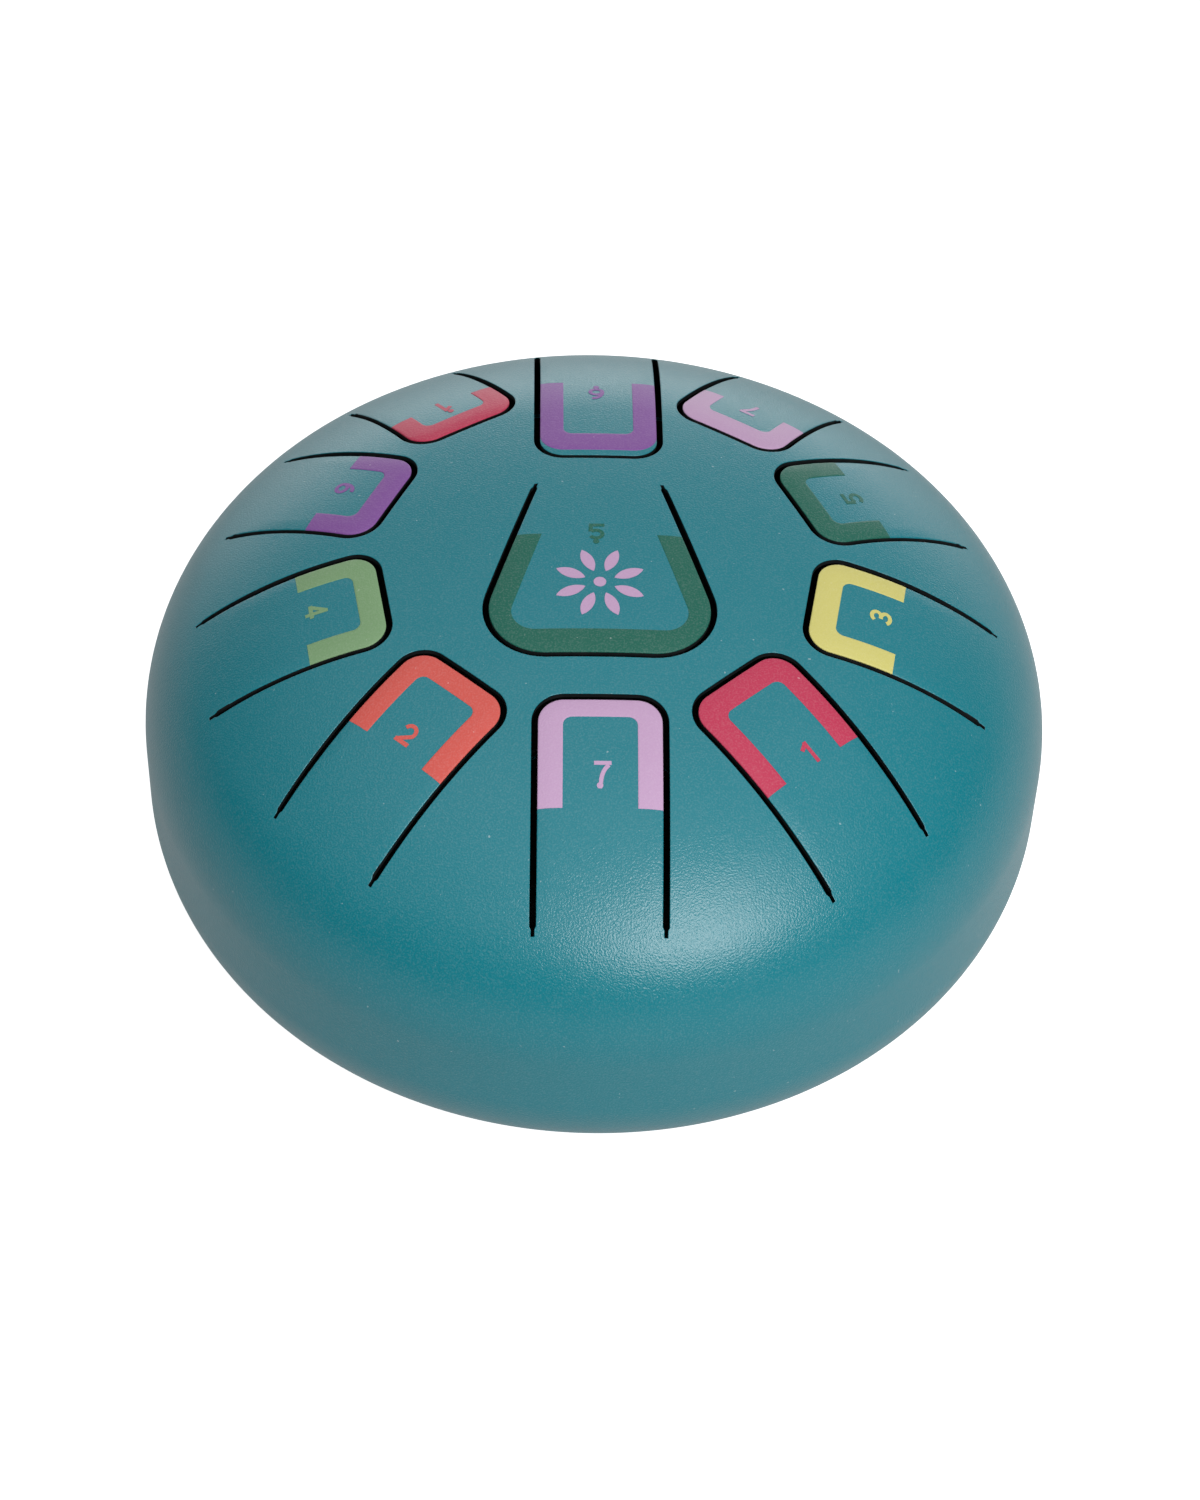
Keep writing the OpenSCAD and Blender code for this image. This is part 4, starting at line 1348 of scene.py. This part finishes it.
def closed_film(name, outlines, tongue, material):
    """A thin film on a tongue whose plan is all that some overlapping outlines cover."""
    points = np.concatenate(outlines)
    ends = np.cumsum([len(outline) for outline in outlines])
    numbered = [range(end - len(outline), end) for end, outline in zip(ends, outlines)]
    plan, faces, _ = triangles_of(points / mm, numbered, lambda within: len(within) > 0)
    plan = tongue.to_drum(plan * mm)
    sheet = Sheet()
    top = sheet.add(on_sheet(plan, -film_t))
    foot = sheet.add(on_sheet(plan, film_sink))
    facing = upper_facing(plan)
    sheet.skin(top[faces], facing[faces])
    sheet.skin(foot[faces], -facing[faces])
    edges = np.concatenate((faces[:, (0, 1)], faces[:, (1, 2)], faces[:, (2, 0)]))
    both_ways = {(a, b) for a, b in edges.tolist()}
    rim = np.array([(a, b) for a, b in edges.tolist() if (b, a) not in both_ways])
    run = plan[rim[:, 1]] - plan[rim[:, 0]]
    away = np.column_stack((run[:, 1], -run[:, 0], np.zeros(len(run))))
    away /= np.linalg.norm(away, axis=1)[:, None]
    walls = np.column_stack((top[rim], foot[rim[:, ::-1]]))
    sheet.skin(walls, np.repeat(away[:, None], 4, 1))
    return sheet.piece(name, material)


def disc(x, y, r):
    """A round outline."""
    return round_hole(x, y, r, disc_steps)[0]


def placed(outline, spot, quarter_turns):
    """An outline turned by quarter turns and set at a spot of a tongue."""
    for _ in range(quarter_turns % 4):
        outline = np.column_stack((-outline[:, 1], outline[:, 0]))
    return outline + spot


print("the outline of an octave dot has", len(disc(0, 0, dot_r)), "points")

# %% Eleven numerals
dot_clear_share = 0.9
dot_at = numeral_up + stroke_w / 2 + dot_clear_share * dot_r
for tongue in TONGUES:
    outlines = [thickened(middle, stroke_w) for middle in DIGITS[tongue.digit]]
    if tongue.octave:
        dot_x = DOT_PLACES[tongue.digit] * numeral_across
        outlines.append(disc(dot_x, tongue.octave * dot_at, dot_r))
    quarter_turns = -1 if tongue.tip < 0 else 1
    outlines = [placed(outline, tongue.numeral_at, quarter_turns) for outline in outlines]
    piece = closed_film("film_numeral_" + tongue.note, outlines, tongue, films[tongue.colour])
    stands_for(piece, "numeral_" + tongue.note, tongue.body)
print("numerals:", len(TONGUES), "the last has", len(piece.data.polygons), "faces")

# %% [markdown]
# The centre tongue carries a lilac ornament: a plain rosette of eight petals round a bud, printed as
# the bands are. Its petals could be drawn with a curve and arrayed. Here each is the lens that two
# circles share, turned by rule, so all eight go into the same film as the bud.

# %% Rosette on the centre tongue
rosette_at = centre.tip + 23.9 * mm
petal_reach = 12.6 * mm
petal_l = 8.4 * mm
petal_w = 3.3 * mm
bud_r = 1.7 * mm
petal_count = 8
petal_points = 20


def petal(turn):
    """The outline of a petal that points away from the rosette's middle."""
    lens_r = (petal_l ** 2 + petal_w ** 2) / (4 * petal_w)
    reach = asin(petal_l / 2 / lens_r)
    angles = np.linspace(-reach, reach, petal_points)[:-1]
    bow = np.column_stack((np.sin(angles) * lens_r, (np.cos(angles) - 1) * lens_r + petal_w / 2))
    outline = np.concatenate((bow, -bow)) + (petal_reach - petal_l / 2, 0)
    return outline @ np.array(((cos(turn), sin(turn)), (-sin(turn), cos(turn))))


outlines = [disc(0, 0, bud_r)]
outlines += [petal((i + 0.5) * 2 * pi / petal_count) for i in range(petal_count)]
outlines = [outline + (rosette_at, 0) for outline in outlines]
rosette = closed_film("film_centre_rosette", outlines, centre, films["lilac"])
stands_for(rosette, "centre_rosette", centre.body)
print("rosette:", len(rosette.data.polygons), "faces")

# %% [markdown]
# Four rubber feet carry the drum, each held by a screw, a washer and a nut inside. They hardly show
# while it stands, but a drum that is turned over shows them all. The Screw modifier could spin a
# section into such a part. A short function does the same and more: the section's radius may follow
# a rule of the turn, which gives the flats of a nut and the thread of a screw.

# %% Turned parts
crisp_angle = radians(35)
turned_steps = 64


def turned(name, rows, steps, closed):
    """A part turned round its own axis from rows of a radius, which may vary, and a height."""
    turns = np.arange(steps) * 2 * pi / steps
    points = np.concatenate([
        np.column_stack((np.cos(turns) * r, np.sin(turns) * r, np.full(steps, z))) for r, z in rows])
    here = np.arange(steps)
    after = np.roll(here, -1)
    faces = []
    for row in range(len(rows) if closed else len(rows) - 1):
        low, high = row * steps, (row + 1) % len(rows) * steps
        faces += np.column_stack((low + here, low + after, high + after, high + here)).tolist()
    mesh = bpy.data.meshes.new(name)
    mesh.from_pydata(points.tolist(), [], faces)
    cage = bmesh.new()
    cage.from_mesh(mesh)
    bmesh.ops.remove_doubles(cage, verts=cage.verts, dist=same_spot)
    bmesh.ops.recalc_face_normals(cage, faces=cage.faces)
    cage.to_mesh(mesh)
    cage.free()
    return new_object(name, mesh)


print("steps round a turned part:", turned_steps)

# %% Rubber foot
foot_r = 9 * mm
foot_floor_r = 7.75 * mm
foot_round = 0.9 * mm
recess_r = 5 * mm
foot_web = 3 * mm
foot_edge = foot_round / 3
well_edge = foot_round / 2
sole_points = 6
washer_t = 0.8 * mm
washer_z = foot_h - foot_web - washer_t


def foot_section():
    """The pad's section: a rounded sole, a tapered side, and the well and hole for the screw."""
    sole = [(foot_floor_r - foot_round * (1 - sin(a)), foot_round * (1 - cos(a)))
            for a in np.linspace(0, pi / 2, sole_points)]
    top = [(foot_r, foot_h - foot_edge), (foot_r - foot_edge, foot_h)]
    hole = [(bolt_hole_r, foot_h), (bolt_hole_r, washer_z + washer_t)]
    well = [(recess_r, washer_z + washer_t), (recess_r, well_edge), (recess_r + well_edge, 0)]
    return sole + top + hole + well


foot_pattern = turned("foot_pattern", foot_section(), turned_steps, True)
print("foot:", len(foot_pattern.data.polygons), "faces")

# %% [markdown]
# A washer lies in each foot's well under the screw's head, and a hexagon nut holds the screw inside
# the bowl. A cylinder of six sides would give sharp corners, but a real nut has its corners turned
# off. Its radius is therefore the hexagon's, cut short near both faces: the same turning as before.

# %% Washer and nut
washer_r = 4.5 * mm
washer_edge = 0.12 * mm
nut_h = 3.2 * mm
nut_z = foot_h + sheet_t
flat_r = 3.5 * mm
nut_chamfer = 0.45 * mm
thread_r = 2 * mm
nut_bore_r = 2.05 * mm
nut_steps = 72
chamfer_points = 4


def washer_section():
    """A flat ring with broken edges."""
    top = washer_z + washer_t
    rise = [(washer_r - washer_edge, washer_z), (washer_r, washer_z + washer_edge)]
    fall = [(washer_r, top - washer_edge), (washer_r - washer_edge, top)]
    return [(bolt_hole_r, washer_z)] + rise + fall + [(bolt_hole_r, top)]


def nut_section():
    """A hexagon whose corners are turned off at both ends, with a countersunk bore."""
    turns = np.arange(nut_steps) * 2 * pi / nut_steps
    hexagon = flat_r / np.cos(turns % (pi / 3) - pi / 6)
    rise = [(np.minimum(hexagon, hexagon.max() - nut_chamfer + step), nut_z + step)
            for step in np.linspace(0, nut_chamfer, chamfer_points)]
    fall = [(r, 2 * nut_z + nut_h - z) for r, z in rise[::-1]]
    sink = nut_chamfer / 2
    bore = [(nut_bore_r + sink, nut_z + nut_h), (nut_bore_r, nut_z + nut_h - sink),
            (nut_bore_r, nut_z + sink), (nut_bore_r + sink, nut_z)]
    return rise + fall + bore


washer_pattern = turned("washer_pattern", washer_section(), turned_steps, True)
nut_pattern = turned("nut_pattern", nut_section(), nut_steps, True)
print("nut:", len(nut_pattern.data.polygons), "faces")

# %% [markdown]
# The screws have pan heads with a driving cross, and a metric thread. A bump could fake the thread,
# but a mesh that is kept without its finish would lose it. So each row of the shank has a radius that
# rises and falls once in a turn, a little later than in the row below. The cross is cut into the head
# by a Boolean modifier, whose result is kept at once.

# %% Screw
head_r = 3.8 * mm
head_h = 2.4 * mm
head_round = 1.1 * mm
pitch = 0.7 * mm
thread_depth = 0.38 * mm
plain_shank = 1.6 * mm
thread_rows = 6
pan_points = 7
screw_steps = 40
screw_past_nut = 1.2 * mm
screw_end = nut_z + nut_h + screw_past_nut
drive_l = 4.4 * mm
drive_w = 1 * mm
drive_depth = 1.4 * mm


def screw_section():
    """A pan head, a plain neck and a thread that winds up to a chamfered end."""
    low = washer_z - head_h
    pan = [(head_r - head_round * (1 - sin(a)), low + head_round * (1 - cos(a)))
           for a in np.linspace(0, pi / 2, pan_points)]
    turns = np.arange(screw_steps) / screw_steps
    rows = [(0.0, low)] + pan + [(head_r, washer_z), (thread_r, washer_z)]
    start = washer_z + plain_shank
    count = int((screw_end - start) / pitch * thread_rows)
    for i in range(count):
        z = start + pitch * i / thread_rows
        valley = 1 - np.abs(2 * ((z / pitch - turns) % 1) - 1)
        rows.append((thread_r - thread_depth * valley * min(1, i / thread_rows), z))
    return rows + [(thread_r - thread_depth, screw_end), (0.0, screw_end)]


def cut_cross(screw):
    """Cuts the driving cross into a screw's head."""
    arms = bmesh.new()
    under_head = Matrix.Translation((0, 0, washer_z - head_h))
    for x, y in ((drive_l, drive_w), (drive_w, drive_l)):
        shape = Matrix.Diagonal((x, y, 2 * drive_depth, 1))
        bmesh.ops.create_cube(arms, size=1, matrix=under_head @ shape)
    mesh = bpy.data.meshes.new("driving_cross")
    arms.to_mesh(mesh)
    arms.free()
    cutter = new_object("driving_cross", mesh)
    cut = screw.modifiers.new("cross", "BOOLEAN")
    cut.object = cutter
    cut.solver = "EXACT"
    cut.use_self = True
    keep_result(screw)
    bpy.data.objects.remove(cutter)


screw_pattern = turned("screw_pattern", screw_section(), screw_steps, False)
cut_cross(screw_pattern)
print("screw:", len(screw_pattern.data.polygons), "faces")

# %% [markdown]
# Feet, washers, screws and nuts repeat four times round the axis. An Array modifier about an empty
# could set them out. A Geometry Nodes tree does it with plain inputs: how many, how far out and from
# which turn. It puts a copy on each point and makes the copies real, because an export drops them
# otherwise. The four feet are pieces of their own, so each of them is a ring of one.

# %% Tree that sets copies round the drum
def ring_tree():
    """Copies of a pattern at even turns round the drum's axis, each turned with its place."""
    sizes = ["Count", "Distance", "First turn"]
    tree, given, (count, distance, first) = new_tree("ring_of_copies", sizes, ["Pattern"])
    points = tree.nodes.new("GeometryNodePoints")
    index = Term(tree, tree.nodes.new("GeometryNodeInputIndex").outputs["Index"])
    turn = first + index * (2 * pi) / count
    spot = tree.nodes.new("ShaderNodeCombineXYZ")
    facing = tree.nodes.new("ShaderNodeCombineXYZ")
    rotation = tree.nodes.new("FunctionNodeEulerToRotation")
    pattern = tree.nodes.new("GeometryNodeObjectInfo")
    pattern.inputs["As Instance"].default_value = True
    copies = tree.nodes.new("GeometryNodeInstanceOnPoints")
    for source, socket in (
        (count.socket, points.inputs["Count"]),
        ((distance * turn.cos()).socket, spot.inputs["X"]),
        ((distance * turn.sin()).socket, spot.inputs["Y"]),
        (spot.outputs["Vector"], points.inputs["Position"]),
        (turn.socket, facing.inputs["Z"]),
        (facing.outputs["Vector"], rotation.inputs["Euler"]),
        (rotation.outputs["Rotation"], copies.inputs["Rotation"]),
        (given.outputs["Pattern"], pattern.inputs["Object"]),
        (pattern.outputs["Geometry"], copies.inputs["Instance"]),
        (points.outputs["Points"], copies.inputs["Points"]),
    ):
        tree.links.new(source, socket)
    end_tree(tree, given, copies.outputs["Instances"])
    return tree


ring_nodes = ring_tree()
print("tree of a ring:", len(ring_nodes.nodes), "nodes")


# %% Feet and their fixings
def set_round(name, pattern, count, first_turn, material, node):
    """Copies of a pattern round the drum, in place of a packed node."""
    piece = grown(name, ring_nodes, {
        "Count": float(count), "Distance": foot_at, "First turn": radians(first_turn),
        "Pattern": pattern, "Material": material})
    piece.data.set_sharp_from_angle(angle=crisp_angle)
    stands_for(piece, node, "drum")
    print(name + ":", len(piece.data.polygons), "faces")


for foot, turn in FOOT_TURNS.items():
    set_round("moulded_foot_" + foot, foot_pattern, 1, turn, rubber, "rubber_foot_" + foot)
first_foot = FOOT_TURNS["front_right"]
for name, pattern in (("washers", washer_pattern), ("screws", screw_pattern), ("nuts", nut_pattern)):
    set_round("zinc_" + name, pattern, len(FOOT_TURNS), first_foot, zinc, "foot_" + name)
for pattern in (foot_pattern, washer_pattern, screw_pattern, nut_pattern):
    bpy.data.objects.remove(pattern)

# %% [markdown]
# The floor is a plain pale table. A lamp strong enough to make it white would bleach the drum, so it
# glows instead, for camera rays alone, and still keeps the drum's soft shadow. For glossy rays it
# glows too, little near the drum and more far behind it, as a table does towards a white wall. Under
# the drum all glow fades out and its colour is painted nearly black, a painted shadow, so that
# nothing white shines up through the slots.

# %% Floor
floor_half = 4
floor_glow = 0.88
near_shine = 0.05
far_shine = 0.6
near_y = 0.25
far_y = 0.7
# Between these distances from the axis the floor fades into a painted shadow: its glow goes out and its
# colour is painted nearly black
painted_shadow_from = 95 * mm
painted_shadow_to = 60 * mm
floor_pale = (0.6, 0.6, 0.6)
floor_painted_shadow = (0.01, 0.01, 0.01)


def lay_floor():
    """A wide pale floor that the camera sees as white, apart from the drum's soft shadow and the painted
    shadow under it.
    """
    mesh = bpy.data.meshes.new("floor")
    corners = [(x * floor_half, y * floor_half, 0) for x, y in ((-1, -1), (1, -1), (1, 1), (-1, 1))]
    mesh.from_pydata(corners, [], [(0, 1, 2, 3)])
    floor = new_object("floor", mesh)
    dull = {"Roughness": 1, "Specular IOR Level": 0}
    material, tree, shader = new_finish("pale_floor", floor_pale, dull)
    x, y, _ = parts_of(tree, tree.nodes.new("ShaderNodeTexCoord").outputs["Object"])
    ray = tree.nodes.new("ShaderNodeLightPath")
    seen = Term(tree, ray.outputs["Is Camera Ray"]) * floor_glow
    r = (x * x + y * y).sqrt()
    shine = y.share(near_y, far_y) * (far_shine - near_shine) + near_shine
    mirrored = Term(tree, ray.outputs["Is Glossy Ray"]) * shine
    # Near the axis the floor's colour is painted dark, a painted shadow under the drum
    clear = r.share(painted_shadow_to, painted_shadow_from)
    tree.links.new(tint(tree, floor_painted_shadow, floor_pale, clear.socket), shader.inputs["Base Color"])
    glow = (seen + mirrored) * clear
    shader.inputs["Emission Color"].default_value = (1, 1, 1, 1)
    tree.links.new(glow.socket, shader.inputs["Emission Strength"])
    mesh.materials.append(material)
    return floor


floor = lay_floor()
print("floor:", floor.dimensions.x, "m wide")

# %% [markdown]
# The room is white and its light comes mostly from above. A satin coat shows the room twice: as its
# plain colour, and as a pale veil where it turns away from the eye. Panels and lamps could be stood
# all round, but a rule for the world's brightness by direction is quieter: a sky, and a white wall
# behind the drum that only the gloss sees, which veils the far slope. One broad lamp to the front
# right leaves the soft highlight on the near shoulder.

# %% Room and lamp
sky_level = 1.2
wall_level = 4.3
key_turn = radians(26)
key_tilt = radians(40.3)
key_distance = 1.3
key_size = 0.68
key_power = 12.8


def light_room():
    """White light from above, a white wall behind for the gloss, and white to the camera."""
    world = bpy.data.worlds.new("room")
    world.use_nodes = True
    tree = world.node_tree
    background = tree.nodes["Background"]
    background.inputs["Color"].default_value = (1, 1, 1, 1)
    _, back, up = parts_of(tree, tree.nodes.new("ShaderNodeTexCoord").outputs["Generated"])
    ray = tree.nodes.new("ShaderNodeLightPath")
    above = up.at_least(0)
    level = 1 - up.size()
    behind = back.at_least(0) * back
    wall = behind * behind * level * level * level * Term(tree, ray.outputs["Is Glossy Ray"])
    light = above * above * sky_level + wall * wall_level
    seen = light + (1 - light) * Term(tree, ray.outputs["Is Camera Ray"])
    tree.links.new(seen.socket, background.inputs["Strength"])
    bpy.context.scene.world = world


def hang_lamp(name, turn, tilt, distance, size, power):
    """A square lamp that looks at the drum, turned from the front towards the right."""
    data = bpy.data.lights.new(name, "AREA")
    data.size = size
    data.energy = power
    lamp = new_object(name, data)
    out = Vector((sin(turn) * cos(tilt), -cos(turn) * cos(tilt), sin(tilt)))
    lamp.location = out * distance + Vector((0, 0, side_top_z))
    lamp.rotation_euler = out.to_track_quat("Z", "Y").to_euler()
    return lamp


light_room()
key = hang_lamp("key_lamp", key_turn, key_tilt, key_distance, key_size, key_power)
bpy.context.scene.view_settings.view_transform = "Standard"
print("key lamp at", [round(x, 2) for x in key.location])

# %% [markdown]
# The packed model fixes how big the drum is, so the dressed one has to lie inside its box.
